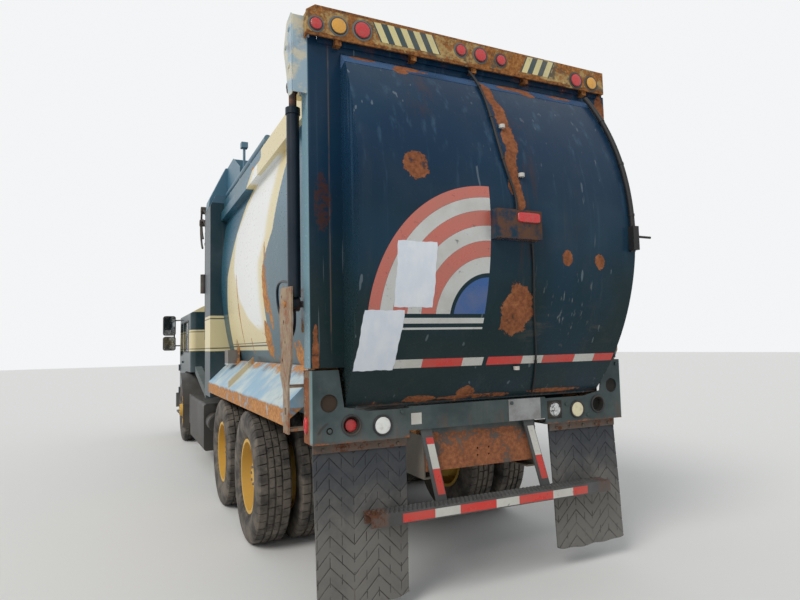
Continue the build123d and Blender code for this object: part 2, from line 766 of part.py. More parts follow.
# Outer plates that carry the lift cylinders' pins, webbed to the body's posts
with BuildPart() as brackets:
    plate_in, plate_out = lift_y + 46, lift_y + 58
    for s in (1, -1):
        plate = [
            (rear_x + 60, barrel_pin_z + 95),
            (rear_x + 300, barrel_pin_z + 105),
            (rear_x + 345, barrel_pin_z - 60),
            (rear_x + 300, barrel_pin_z - 290),
            (rear_x + 330, barrel_pin_z - 430),
            (rear_x + 262, barrel_pin_z - 520),
            (rear_x + 262, 1060),
            (rear_x + 150, 1060),
            (rear_x + 150, barrel_pin_z - 480),
            (rear_x + 70, barrel_pin_z - 330),
        ]
        side_plate(plate, s * plate_in, s * plate_out)
        rod_y(barrel_pin_x, s * (plate_in - 5), s * (plate_out + 5), barrel_pin_z, lift_pin_r + face_gap, Mode.SUBTRACT)
        # Lightening holes: offset along the truck, height, radius
        for offset, z, r in ((235, 1720, 15), (205, 1600, 11), (270, 1490, 13), (285, 1880, 10)):
            rod_y(rear_x + offset, s * (plate_in - 5), s * (plate_out + 5), z, r, Mode.SUBTRACT)
        slab(rear_x + 185, rear_x + 225, s * (plate_in - 5), s * (plate_out + 5), 1170, 1212, Mode.SUBTRACT)
        for z0 in (1075, 1330):
            slab(rear_x + 160, rear_x + 255, s * post_y, s * plate_in, z0, z0 + 14)
save(brackets.part, "lift_brackets")

# Front frame of the body: a deep portal, open towards the hopper
with BuildPart() as front_frame:
    portal = [
        (-frame_half, frame_bottom),
        (-frame_half, frame_top - 130),
        (-frame_half + 60, frame_top),
        (frame_half - 60, frame_top),
        (frame_half, frame_top - 130),
        (frame_half, frame_bottom),
    ]
    cross_plate(portal, frame_rear, frame_front)
    slab(
        frame_rear + 30,
        frame_front + 5,
        -frame_half + 30,
        frame_half - 30,
        frame_bottom + 30,
        frame_top - 140,
        Mode.SUBTRACT,
    )
    for s in (1, -1):
        slab(frame_rear + 30, frame_front, s * portal_half, s * (frame_half - 30), frame_bottom + 30, frame_top - 140)
        slab(
            frame_rear + 60,
            frame_front + 5,
            s * (portal_half + 30),
            s * (frame_half - 60),
            frame_bottom + 60,
            frame_top - 170,
            Mode.SUBTRACT,
        )
    slab(frame_rear - 5, frame_rear + 60, -portal_half, portal_half, body_floor_z + body_floor_t, portal_top, Mode.SUBTRACT)
save(front_frame.part, "body_front_frame")

# Hood over the packer's end of the roof, with the pipes along the roof's edge
with BuildPart() as hood:
    x0, x1 = rear_x + 2450, frame_front
    crown_half, crown_rise = eave_y - 40, roof_crown_z - roof_z
    crown_r = (crown_half**2 + crown_rise**2) / (2 * crown_rise)
    section = [(-800, roof_z), (-700, 3620), (700, 3620), (800, roof_z)]
    cross_plate(section, x0, frame_rear)
    inner = [(-767, roof_z - 5), (-672, 3590), (672, 3590), (767, roof_z - 5)]
    cross_plate(inner, x0 + 30, frame_rear - 30, Mode.SUBTRACT)
    # Fitted to the crown of the roof
    rod_x(x0 - 5, frame_rear, 0, roof_crown_z - crown_r, crown_r + face_gap, Mode.SUBTRACT)
    cross_plate([(-880, frame_top), (-800, 3600), (800, 3600), (880, frame_top)], frame_rear, x1)
    for s in (1, -1):
        rod_x(rear_x + 1840, frame_rear - 40, s * 985, roof_z + 130, 32)
        for offset in (1900, 2500, 3100, 3700):
            slab(rear_x + offset, rear_x + offset + 40, s * 965, s * 1005, roof_z + 50, roof_z + 110)
    rod_z(rear_x + 3200, 939, roof_z + 50, 3790, 14)
    with Locations((rear_x + 3200, 939, 3800)):
        Box(80, 70, 60)
save(hood.part, "roof_hood")

# Sloping shelves over the tandem wheels
with BuildPart() as shelves:
    for s in (1, -1):
        section = [
            (s * skirt_y, skirt_z - 4),
            (s * (skirt_y + 22), skirt_z - 4),
            (s * (frame_half + 16), 1192),
            (s * (frame_half + 16), 1072),
            (s * (frame_half - 2), 1072),
            (s * (frame_half - 2), 1180),
            (s * skirt_y, skirt_z - 33),
        ]
        cross_plate(section, rear_x + 450, frame_rear - 10)
        for offset in (450, 1650, 2850, 3970):
            rib = [
                (s * skirt_y, skirt_z - 33),
                (s * (frame_half - 2), 1180),
                (s * (frame_half - 2), 1100),
                (s * skirt_y, 1300),
            ]
            cross_plate(rib, rear_x + offset, rear_x + offset + 15)
        # Upright stiffener across the slope
        stiffener = [
            (s * (skirt_y + 35), skirt_z - 30),
            (s * (frame_half + 16), 1180),
            (s * (frame_half + 16), 1256),
            (s * (skirt_y + 35), skirt_z + 46),
        ]
        cross_plate(stiffener, rear_x + 2590, rear_x + 2604)
    # Small box beside the body on the left shelf
    box = [
        (skirt_y + 36, skirt_z - 26),
        (skirt_y + 62, skirt_z - 44),
        (skirt_y + 160, skirt_z - 44),
        (skirt_y + 160, skirt_z + 116),
        (skirt_y + 36, skirt_z + 116),
    ]
    cross_plate(box, rear_x + 3340, rear_x + 3560)
save(shelves.part, "fender_shelves")

# Hopper between the body and the cab, open at the top and towards the body
with BuildPart() as hopper:
    x0 = frame_front
    slab(x0, hopper_front, -hopper_half, hopper_half, hopper_floor_z - hopper_wall, hopper_top)
    slab(
        x0 - 5,
        hopper_front - hopper_wall,
        -hopper_half + hopper_wall,
        hopper_half - hopper_wall,
        hopper_floor_z,
        hopper_top + 5,
        Mode.SUBTRACT,
    )
    slab(x0 + 250, hopper_front - 200, -hopper_half - 5, 0, hopper_lip, hopper_top + 5, Mode.SUBTRACT)
    for x in (frame_front + 430, hopper_front - 200):
        for s in (1, -1):
            slab(x, x + 80, s * 350, s * 430, rail_top, hopper_floor_z - hopper_wall)
    # Gussets against the front frame
    for s in (1, -1):
        gusset = [(x0, frame_top - 140), (x0 + 330, frame_top - 180), (x0, 2560)]
        side_plate(gusset, s * (frame_half - 55), s * (frame_half - 40))
        for offset in (420, 910, 1400):
            slab(x0 + offset, x0 + offset + 60, s * hopper_half, s * (hopper_half + 36), hopper_floor_z, hopper_lip - 20)
    # Sloping strut under the left side
    strut = [
        (x0, 960),
        (x0, 1060),
        (hopper_front - 750, 1330),
        (hopper_front - 750, 1230),
    ]
    side_plate(strut, frame_half - 100, frame_half - 10)
    slab(hopper_front - 850, hopper_front - 770, hopper_half + face_gap, frame_half - 100, 1225, 1300)
save(hopper.part, "hopper")

# Packer panel that pushes the load into the body
packer_gap = 8
packer_top = 1880
with BuildPart() as packer:
    x1 = hopper_front - hopper_wall - 20
    half = hopper_half - hopper_wall - packer_gap
    slab(x1 - 150, x1 - 120, -half, half, hopper_floor_z + packer_gap, packer_top)
    slab(x1 - 120, x1, -half, half, packer_top - 40, packer_top)
    for y in (-half, -280, 260, half - 20):
        slab(x1 - 120, x1, y, y + 20, hopper_floor_z + packer_gap, packer_top - 40)
    # Shoes that run on the hopper's floor
    for s in (1, -1):
        slab(x1 - 150, x1, s * 700, s * 780, hopper_floor_z + face_gap, hopper_floor_z + packer_gap + 20)
save(packer.part, "packer_panel")

# Cross tube that carries the lifting arm
with BuildPart() as arm_base:
    slab(arm_x - base_half_x, arm_x + base_half_x, -base_half_y, base_half_y, base_z0, base_z1)
    slab(
        arm_x - base_half_x + base_wall,
        arm_x + base_half_x - base_wall,
        -base_half_y - 5,
        base_half_y + 5,
        base_z0 + base_wall,
        base_z1 - base_wall,
        Mode.SUBTRACT,
    )
    for s in (1, -1):
        slab(arm_x - base_half_x - 30, arm_x + base_half_x + 30, s * 350, s * 430, rail_top, base_z0)
    # Wear pads round the beam at the tube's mouth
    slab(arm_x - base_half_x + 5, arm_x + base_half_x - 5, -base_half_y, -base_half_y + 80, base_z0 + 5, base_z1 - 5)
    slab(
        arm_x - beam_half_x - face_gap,
        arm_x + beam_half_x + face_gap,
        -base_half_y - 5,
        -base_half_y + 85,
        base_z0 + base_wall + beam_gap - face_gap,
        base_z1 - base_wall - beam_gap + face_gap,
        Mode.SUBTRACT,
    )
save(arm_base.part, "arm_base")

# Sliding beam with the arm's post and its turning drive
with BuildPart() as arm_slide:
    slab(
        arm_x - beam_half_x,
        arm_x + beam_half_x,
        mast_y1,
        base_half_y - 200,
        base_z0 + base_wall + beam_gap,
        base_z1 - base_wall - beam_gap,
    )
    slab(arm_x - 100, arm_x + 100, mast_y0, mast_y1, grip_z1 + 20, pivot_z)
    rod_x(arm_x - 150, arm_x + 150, pivot_y, pivot_z, 78)
    rod_x(arm_x - 150 - link_gap - link_t, arm_x + 150 + link_gap + link_t, pivot_y, pivot_z, pivot_r)
save(arm_slide.part, "arm_slide")

# Lifting link with the gripper's beam
with BuildPart() as arm_link:
    for s in (1, -1):
        xa = arm_x + s * (150 + link_gap)
        xb = xa + s * link_t
        link = [
            (pivot_y - 62, pivot_z + 20),
            (pivot_y + 50, pivot_z + 20),
            (pivot_y + 50, pivot_z - 160),
            (grip_y1, grip_z1 - 120),
            (grip_y1, grip_z0 + 20),
            (grip_y0, grip_z0 + 20),
            (grip_y0, grip_z1),
            (pivot_y - 62, pivot_z - 200),
        ]
        cross_plate(link, xa, xb)
        rod_x(xa, xb, pivot_y, pivot_z, 72)
        rod_x(xa - s * 2, xb + s * 2, pivot_y, pivot_z, pivot_r + face_gap, Mode.SUBTRACT)
    slab(arm_x - grip_half_x, arm_x + grip_half_x, grip_y0, grip_y1, grip_z0, grip_z1)
    for s in (1, -1):
        x = arm_x + s * finger_x
        for z0 in (grip_z0, grip_z1 - 25):
            slab(x - 40, x + 40, finger_y - 20, grip_y0, z0, z0 + 25)
        rod_z(x, finger_y, grip_z0, grip_z1, finger_pin_r)
save(arm_link.part, "arm_link")

# Gripper fingers, folded flat along their beam
for name, s in (("front", 1), ("rear", -1)):
    x = arm_x + s * finger_x
    with BuildPart() as finger:
        outline = [
            (x, finger_y + 26),
            (x + s * 260, finger_y + 22),
            (x + s * finger_len, finger_y + 2),
            (x + s * finger_len, finger_y - 26),
            (x + s * 260, finger_y - 10),
            (x, finger_y - 26),
        ]
        flat_plate(outline, grip_z0 + 32, grip_z1 - 32)
        rod_z(x, finger_y, grip_z0 + 32, grip_z1 - 32, 32)
        rod_z(x, finger_y, grip_z0, grip_z1, finger_pin_r + face_gap, Mode.SUBTRACT)
    save(finger.part, f"finger_{name}")


def bulge_circle(inset):
    """Centre x and radius of the tailgate's bulge in side view."""
    half_h = (gate_top - gate_bottom) / 2
    radius = (half_h**2 + gate_bulge**2) / (2 * gate_bulge)
    return rear_x - gate_bulge + radius, radius - inset


# Tailgate: a flat outer frame with hinge ears, and the bulged shell
with BuildPart() as gate_frame:
    slab(rear_x, rear_x + gate_frame_t, -gate_half, gate_half, gate_bottom - 10, gate_top)
    slab(
        rear_x - 5,
        rear_x + gate_frame_t + 5,
        -gate_open_half,
        gate_open_half,
        gate_bottom + 60,
        gate_top - 70,
        Mode.SUBTRACT,
    )
    for s in (1, -1):
        # Notch above the lamp panels
        slab(
            rear_x - 5,
            rear_x + gate_frame_t + 5,
            s * gate_inner_half,
            s * (gate_half + 5),
            gate_bottom - 20,
            1445,
            Mode.SUBTRACT,
        )
        ear = [
            (rear_x, gate_top - 120),
            (rear_x + gate_frame_t, gate_top - 120),
            (rear_x + gate_frame_t, gate_top - 60),
            (hinge_x - 30, hinge_z - 62),
            (hinge_x + 40, hinge_z - 50),
            (hinge_x + 62, hinge_z),
            (hinge_x + 40, hinge_z + 50),
            (hinge_x - 30, hinge_z + 80),
            (rear_x + 90, gate_top + 160),
            (rear_x, gate_top + 160),
        ]
        side_plate(ear, s * ear_y, s * (ear_y + ear_t))
        rod_y(hinge_x, s * (ear_y - 2), s * (ear_y + ear_t + 2), hinge_z, hinge_r + face_gap, Mode.SUBTRACT)
        rod_arm = [
            (rear_x + gate_frame_t, rod_eye_z + 110),
            (rear_x + gate_frame_t, rod_eye_z - 60),
            (rod_eye_x + 30, rod_eye_z - 40),
            (rod_eye_x + 40, rod_eye_z + 110),
        ]
        side_plate(rod_arm, s * ear_y, s * (ear_y + ear_t))
save(gate_frame.part, "tailgate_frame")

with BuildPart() as gate_shell:
    for inset, mode in ((0, Mode.ADD), (gate_skin, Mode.SUBTRACT)):
        cx, radius = bulge_circle(inset)
        with BuildPart(mode=Mode.PRIVATE) as bulge:
            rod_y(cx, -gate_flare_half - 50, gate_flare_half + 50, (gate_top + gate_bottom) / 2, radius)
            x_back = rear_x - gate_bulge - 10
            flare = gate_flare_half - inset
            root = gate_inner_half - inset
            plan = [
                (x_back, -flare),
                (rear_x + 1 * (inset > 0), -root),
                (rear_x + 1 * (inset > 0), root),
                (x_back, flare),
            ]
            flat_plate(plan, 900, 3700, Mode.INTERSECT)
            # Straight ledge from the crease up to the frame's face
            slope = sqrt(ledge_out**2 + ledge_drop**2)
            ledge_x, low_z = rear_x + inset * ledge_drop / slope, ledge_z - inset * ledge_out / slope
            above = [
                (ledge_x + ledge_out, low_z + ledge_drop),
                (ledge_x - 1.6 * ledge_out, low_z - 1.6 * ledge_drop),
                (ledge_x - 5 * ledge_out, 3700),
                (ledge_x + ledge_out, 3700),
            ]
            side_plate(above, -gate_flare_half - 60, gate_flare_half + 60, Mode.SUBTRACT)
        add(bulge.part, mode=mode)
    slab(rear_x - 468, rear_x - gate_bulge + 4, -160, 165, 2185, 2360)
save(gate_shell.part, "tailgate_shell")

# Light bar above the tailgate
bar_low, bar_high = gate_top - 8, gate_top + 180
bar_right = bar_half - 75
with BuildPart() as light_bar:
    bar = [
        (-bar_right, bar_low),
        (-bar_right, bar_high - 25),
        (bar_half - 55, bar_high),
        (bar_half, bar_high - 40),
        (bar_half, bar_low),
    ]
    cross_plate(bar, bar_x, bar_x + 12)
    lip = [
        (-bar_right, bar_high - 25),
        (-bar_right, bar_high - 37),
        (bar_half - 55, bar_high - 12),
        (bar_half - 55, bar_high),
    ]
    cross_plate(lip, bar_x + 12, rear_x)
    for share in (-0.785, -0.34, 0.02, 0.4, 0.83):
        y = share * bar_half
        slab(bar_x + 12, rear_x, y - 20, y + 20, gate_top - 38, bar_high - 40)
    for s, half in ((1, bar_half), (-1, bar_right)):
        slab(bar_x + 12, rear_x, s * (half - 12), s * half, bar_low, bar_high - 50)
save(light_bar.part, "light_bar")

# Lamps of the bar: place across it and height, then the square one in the middle of the shell
bar_lamps = [
    (1132, 3480),
    (984, 3494),
    (831, 3500),
    (130, 3511),
    (-22, 3506),
    (-188, 3502),
    (-845, 3474),
    (-990, 3476),
]
with BuildPart() as gate_lamps:
    for y, z in bar_lamps:
        rod_x(bar_x - 5, bar_x, y, z, bar_lamp_r + 7)
        rod_x(bar_x - 16, bar_x - 5, y, z, bar_lamp_r)
    slab(rear_x - 480, rear_x - 468, -145, 20, 2285, 2345)
save(gate_lamps.part, "gate_lamps")


def on_shell(y, z, out):
    """A point a little way outside the tailgate's bulge."""
    cx, radius = bulge_circle(0)
    reach = sqrt((radius + out) ** 2 - (z - (gate_top + gate_bottom) / 2) ** 2)
    return cx - reach, y, z


# Hoses held on the tailgate: to the middle lamp, from it to the foot, and along the right-hand edge.
# Each has its radius, its run as place across and height, and the heights of its clips
clip_t = 3
gate_runs = [
    (9, [(60, 3395), (46, 3261), (53, 3008), (48, 2755), (20, 2591), (-18, 2440), (-20, 2375)], (0.16, 0.42, 0.7)),
    (6, [(-130, 2175), (-150, 2020), (-177, 1831), (-222, 1660), (-275, 1518), (-326, 1373), (-372, 1232)], (0.3, 0.75)),
    (17, [(-900, 3330), (-920, 3090), (-942, 2771), (-952, 2520), (-956, 2300), (-956, 2160)], (0.2, 0.5, 0.8)),
]
with BuildPart() as gate_hoses:
    for r, places, shares in gate_runs:
        out = r + clip_t + face_gap
        with BuildLine() as path:
            Spline(*[on_shell(y, z, out) for y, z in places])
        run = path.edges()[0]
        with BuildSketch(Plane(origin=run @ 0, z_dir=run % 0)) as section:
            Circle(r)
        sweep(section.sketch, path=run)
        for share in shares:
            with BuildSketch(Plane(origin=run @ share, z_dir=run % share)) as clip:
                Circle(r + clip_t)
            extrude(clip.sketch, amount=8, both=True)
    # Latch block on the edge run, with its release rod
    x = rear_x - gate_bulge - face_gap
    slab(x - 46, x, -985, -935, 2170, 2330)
    rod_y(x - 24, -1110, -985, 2262, 8)
save(gate_hoses.part, "gate_hoses")

# Lift cylinders of the tailgate
for name, s in (("left", 1), ("right", -1)):
    y = s * lift_y
    barrel_top = barrel_pin_z + barrel_len
    with BuildPart() as barrel:
        rod_z(barrel_pin_x, y, barrel_pin_z + 40, barrel_top, barrel_r)
        rod_y(barrel_pin_x, y - 28, y + 28, barrel_pin_z, lift_eye_r)
        rod_z(barrel_pin_x, y, barrel_top - 40, barrel_top, barrel_r + 6)
        # Hose from the lower port round to the cylinder's foot
        x, z = barrel_pin_x, barrel_pin_z
        loop = [
            (x + 36, y, z + 120),
            (x + 250, y + s * 6, z + 165),
            (x + 430, y, z + 120),
            (x + 440, y - s * 8, z + 20),
            (x + 300, y - s * 14, z - 110),
            (x + 120, y - s * 12, z - 190),
            (x + 16, y - s * 4, z - 130),
            (x, y, z - 38),
        ]
        hose(loop, lift_hose_r)
        rod_z(barrel_pin_x, y, barrel_pin_z + 510, barrel_top + 1, lift_rod_r + face_gap, Mode.SUBTRACT)
        rod_y(barrel_pin_x, y - 30, y + 30, barrel_pin_z, lift_pin_r + face_gap, Mode.SUBTRACT)
    save(barrel.part, f"lift_barrel_{name}")
    with BuildPart() as rod:
        rod_z(barrel_pin_x, y, barrel_pin_z + 540, rod_eye_z, lift_rod_r)
        rod_y(rod_eye_x, y - 28, y + 28, rod_eye_z, lift_eye_r)
        rod_y(rod_eye_x, s * (ear_y + ear_t + 6), s * (lift_y + 36), rod_eye_z, lift_pin_r)
    save(rod.part, f"lift_rod_{name}")

# Lamp panels and the beam between them. Each side: the inner edge of its panel, then its lamps as
# kind, place across, height and radius
panel_low, panel_high, beam_high = 1010, 1432, 1195
panel_sides = {
    1: (555, [("hole", 1063, 1243, 52), ("deep", 929, 1110, 55), ("lamp", 732, 1095, 55), ("hole", 1062, 1085, 20)]),
    -1: (480, [("hole", 1079, 1247, 50), ("deep", 942, 1121, 55), ("lamp", 754, 1095, 55), ("lamp", 556, 1106, 50)]),
}
with BuildPart() as panels:
    for s, (inner, lamps) in panel_sides.items():
        outline = [
            (gate_half, panel_low),
            (gate_half, panel_high),
            (gate_half - 163, panel_high),
            (gate_half - 194, 1215),
            (gate_half - 351, beam_high - 10),
            (inner, beam_high - 10),
            (inner, panel_low),
        ]
        cross_plate([(s * y, z) for y, z in outline], rear_x - 30, rear_x - 20)
        slab(rear_x - 20, body_rear, s * (gate_half - 10), s * gate_half, panel_low, panel_high)
        slab(rear_x - 20, body_rear, s * inner, s * (gate_half - 10), panel_low, panel_low + 12)
        slab(rear_x - 20, body_rear, s * (gate_half - 156), s * (gate_half - 10), panel_high - 10, panel_high)
        for kind, y, z, r in lamps:
            rod_x(rear_x - 35, rear_x - 15, s * y, z, r, Mode.SUBTRACT)
    left_in, right_in = panel_sides[1][0], panel_sides[-1][0]
    slab(rear_x - 30, rear_x - 20, -right_in, left_in, 1050, beam_high)
    slab(rear_x - 20, rear_x + 30, -right_in, left_in, 1050, 1060)
    slab(rear_x - 20, rear_x + 30, -right_in, left_in, beam_high - 10, beam_high)
    slab(rear_x + 18, rear_x + 30, -420, 420, 780, 1050)
    with BuildSketch(Plane.YZ.offset(rear_x + 17)):
        with Locations((0, hitch_z)):
            with GridLocations(hitch_dy, hitch_dz, 2, 2):
                Circle(hitch_hole_r)
    extrude(amount=14, mode=Mode.SUBTRACT)
save(panels.part, "rear_panels")

# Lamps: a lens in a rubber ring, or an empty ring whose lens sits deep
with BuildPart() as rear_lamps:
    for s, (inner, lamps) in panel_sides.items():
        for kind, y, z, r in lamps:
            if kind == "hole":
                continue
            rod_x(rear_x - 36, rear_x + 10, s * y, z, r - face_gap)
            if kind == "deep":
                rod_x(rear_x - 40, rear_x - 12, s * y, z, r - 9, Mode.SUBTRACT)
            else:
                rod_x(rear_x - 41, rear_x - 36, s * y, z, r - 9)
save(rear_lamps.part, "rear_lamps")

# Rear mud flaps hanging from the panels: the left one longer. Side, top and foot across, foot's height
with BuildPart() as flaps:
    for s, top_in, top_out, low_in, low_out, foot in (
        (1, 556, 1150, 552, 1128, 62),
        (-1, 540, 1130, 590, 1180, 140),
    ):
        flap = [(s * top_in, panel_low), (s * top_out, panel_low), (s * low_out, foot), (s * low_in, foot)]
        cross_plate(flap, rear_x + 20, rear_x + 34)
        slab(rear_x + 34, rear_x + 40, s * top_in, s * top_out, panel_low - 50, panel_low)
save(flaps.part, "rear_flaps")

# Step bar on two leaning hangers
with BuildPart() as step:
    slab(rear_x - 112, rear_x + 8, -950, 845, 590, 600)
    slab(rear_x - 112, rear_x - 102, -950, 845, 530, 590)
    slab(rear_x - 2, rear_x + 8, -950, 845, 530, 590)
    for top, low in ((435, 335), (-336, -466)):
        web = [(top - 38, 1050), (top + 38, 1050), (low + 38, 600), (low - 38, 600)]
        cross_plate(web, rear_x - 18, rear_x - 6)
save(step.part, "step_bar")

# Tanks between the axles, each with its straps and brackets
with BuildPart() as tanks:
    box_x0, box_x1 = rear_x + 4640, rear_x + 6200
    drum_x0, drum_x1, drum_y, drum_z, drum_r = rear_x + 4250, rear_x + 6100, -780, 440, 240
    with BuildSketch(Plane.YZ.offset(box_x0)) as box_end:
        with Locations((850, 585)):
            RectangleRounded(660, 590, 40)
    extrude(box_end.sketch, amount=box_x1 - box_x0)
    rod_x(rear_x + 4300, box_x0 - face_gap, 1050, 660, 110)
    rod_x(rear_x + 4330, rear_x + 4350, 1050, 660, 116)
    rod_x(drum_x0, drum_x1, drum_y, drum_z, drum_r)
    rod_z(drum_x1 - 300, drum_y - 120, drum_z + 190, drum_z + 262, 45)
    slab(rear_x + 6350, rear_x + 6950, 480, 1120, 400, 860)
    for offset in (450, 1450):
        rod_x(drum_x0 + offset, drum_x0 + offset + 60, drum_y, drum_z, drum_r + 5)
    for offset in (60, 1160):
        slab(box_x0 + offset, box_x0 + offset + 60, rail_y, 560, 760, 860)
        slab(box_x0 + offset, box_x0 + offset + 60, -rail_y, drum_y - 20, drum_z + 200, 760)
    slab(rear_x + 6500, rear_x + 6560, rail_y, 490, 760, 860)
save(tanks.part, "side_tanks")

with BuildPart() as exhaust:
    rod_z(rear_x + 6850, -700, 1050, 2150, 110)
    rod_z(rear_x + 6850, -700, 2150, 2850, 60)
    rod_z(rear_x + 6850, -700, 880, 1050, 60)
    slab(rear_x + 6820, rear_x + 6880, -700, -rail_y, 900, 980)
save(exhaust.part, "exhaust_stack")

# Valve bank ahead of the body on the left, with its hoses and the lines up the front frame
with BuildPart() as valves:
    bank_in, bank_out = frame_half - 260, frame_half - 110
    bank_y = (bank_in + bank_out) / 2
    line_y = frame_half - 20
    slab(frame_front + 10, frame_front + 360, bank_in, bank_out, 1500, 1640)
    for i in range(5):
        rod_z(frame_front + 50 + i * 65, bank_y, 1640, 1740, 22)
        rod_z(frame_front + 50 + i * 65, bank_y, 1400, 1500, 16)
    slab(frame_front + 10, frame_front + 300, hopper_half, bank_in + 1, 1480, 1520)
    # Hanging hoses: each from a stub below the bank round to the next but one
    for i in (0, 1, 2):
        xa, xb = frame_front + 50 + i * 65, frame_front + 180 + i * 65
        low = 1180 - i * 40
        sag = [(xa, bank_y, 1405), (xa - 12, bank_y + 40, low + 110), ((xa + xb) / 2, bank_y + 60, low), (xb + 12, bank_y + 40, low + 110), (xb, bank_y, 1405)]
        hose(sag, 10)
    # Lines: clamped to the front frame, joined over the top by a bend
    for x, top in ((frame_front + 60, 3180), (frame_front + 110, 3060)):
        rod_z(x, line_y, 1690, top, 11)
        bend = [(x, line_y, top - 20), (x + 30, line_y + 10, top + 140), (x + 150, line_y + 30, top + 190), (x + 250, line_y + 30, top + 60), (x + 240, line_y + 10, top - 160)]
        hose(bend, 13)
        slab(x - 16, x + 16, bank_y, line_y + 10, 1690, 1712)
    for z in (1900, 2400, 2900):
        slab(frame_front, frame_front + 126, line_y - 14, line_y + 14, z, z + 30)
    rod_y(frame_front + 200, line_y - 18, line_y + 50, 3370, 48)
    rod_y(frame_front + 330, line_y - 18, line_y + 50, 3230, 44)
    slab(frame_front, frame_front + 340, line_y - 18, line_y - 6, 3200, 3260)
    slab(frame_front + 170, frame_front + 230, line_y - 18, line_y - 6, 3260, 3400)
    # Short cylinder on the lines
    rod_z(frame_front + 110, line_y + 26, 2280, 2520, 38)
save(valves.part, "valve_bank")
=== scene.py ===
# Garbage truck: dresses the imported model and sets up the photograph's view
import math

import bmesh
import bpy
import numpy as np
from mathutils import Matrix, Vector
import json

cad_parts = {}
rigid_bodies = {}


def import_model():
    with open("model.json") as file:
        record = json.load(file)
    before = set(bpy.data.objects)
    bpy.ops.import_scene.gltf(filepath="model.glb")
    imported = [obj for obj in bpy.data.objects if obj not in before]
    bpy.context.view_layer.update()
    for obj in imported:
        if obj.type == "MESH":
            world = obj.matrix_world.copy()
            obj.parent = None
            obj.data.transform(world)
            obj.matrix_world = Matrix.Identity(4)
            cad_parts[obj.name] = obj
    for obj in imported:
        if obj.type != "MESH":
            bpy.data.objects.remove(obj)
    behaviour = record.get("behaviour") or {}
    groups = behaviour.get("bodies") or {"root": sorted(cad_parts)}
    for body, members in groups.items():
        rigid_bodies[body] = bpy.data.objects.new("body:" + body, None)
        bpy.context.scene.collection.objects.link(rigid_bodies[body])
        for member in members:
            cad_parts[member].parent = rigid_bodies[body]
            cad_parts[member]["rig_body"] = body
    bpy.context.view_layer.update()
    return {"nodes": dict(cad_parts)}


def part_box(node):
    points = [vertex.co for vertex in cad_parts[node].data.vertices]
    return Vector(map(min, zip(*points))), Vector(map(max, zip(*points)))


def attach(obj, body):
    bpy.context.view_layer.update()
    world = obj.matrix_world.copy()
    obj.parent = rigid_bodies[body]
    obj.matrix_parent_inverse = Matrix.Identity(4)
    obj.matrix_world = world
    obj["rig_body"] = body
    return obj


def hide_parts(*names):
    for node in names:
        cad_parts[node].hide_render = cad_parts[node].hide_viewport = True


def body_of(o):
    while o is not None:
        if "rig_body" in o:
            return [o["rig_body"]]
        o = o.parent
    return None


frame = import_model()
print("frame: loaded", len(frame["nodes"]), "nodes")

# The rear face and the axles' height, in metres, read from the frame
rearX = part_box("tailgate_frame")[0].x
axleZ = (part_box("tyre_front_left")[0].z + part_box("tyre_front_left")[1].z) / 2


# Shader maths: a wrapped socket on which + - * / add Math nodes
class Wire:
    def __init__(self, bench, socket):
        self.bench = bench
        self.socket = socket

    def join(self, operation, first, second=0.0):
        return self.bench.node("ShaderNodeMath", {"operation": operation}, {0: first, 1: second})

    def __add__(self, other):
        return self.join("ADD", self, other)

    def __radd__(self, other):
        return self.join("ADD", other, self)

    def __sub__(self, other):
        return self.join("SUBTRACT", self, other)

    def __rsub__(self, other):
        return self.join("SUBTRACT", other, self)

    def __mul__(self, other):
        return self.join("MULTIPLY", self, other)

    def __rmul__(self, other):
        return self.join("MULTIPLY", other, self)

    def __truediv__(self, other):
        return self.join("DIVIDE", self, other)

    def __pow__(self, other):
        return self.join("POWER", self, other)

    def __abs__(self):
        return self.join("ABSOLUTE", self)

    def above(self, limit):
        return self.join("GREATER_THAN", self, limit)

    def below(self, limit):
        return self.join("LESS_THAN", self, limit)

    def most(self, other):
        return self.join("MAXIMUM", self, other)

    def least(self, other):
        return self.join("MINIMUM", self, other)

    def wrap(self, size):
        return self.join("FLOORED_MODULO", self, size)

    # 0 before start, 1 after end, smooth between; start may be the larger
    def ramp(self, start, end):
        edges = {"Value": self, 1: min(start, end), 2: max(start, end)}
        rise = self.bench.node("ShaderNodeMapRange", {"interpolation_type": "SMOOTHSTEP"}, edges)
        return 1.0 - rise if start > end else rise

    # 1 inside a band round a middle, with soft edges
    def band(self, middle, half, soft=0.004):
        return abs(self - middle).ramp(half + soft, half - soft)


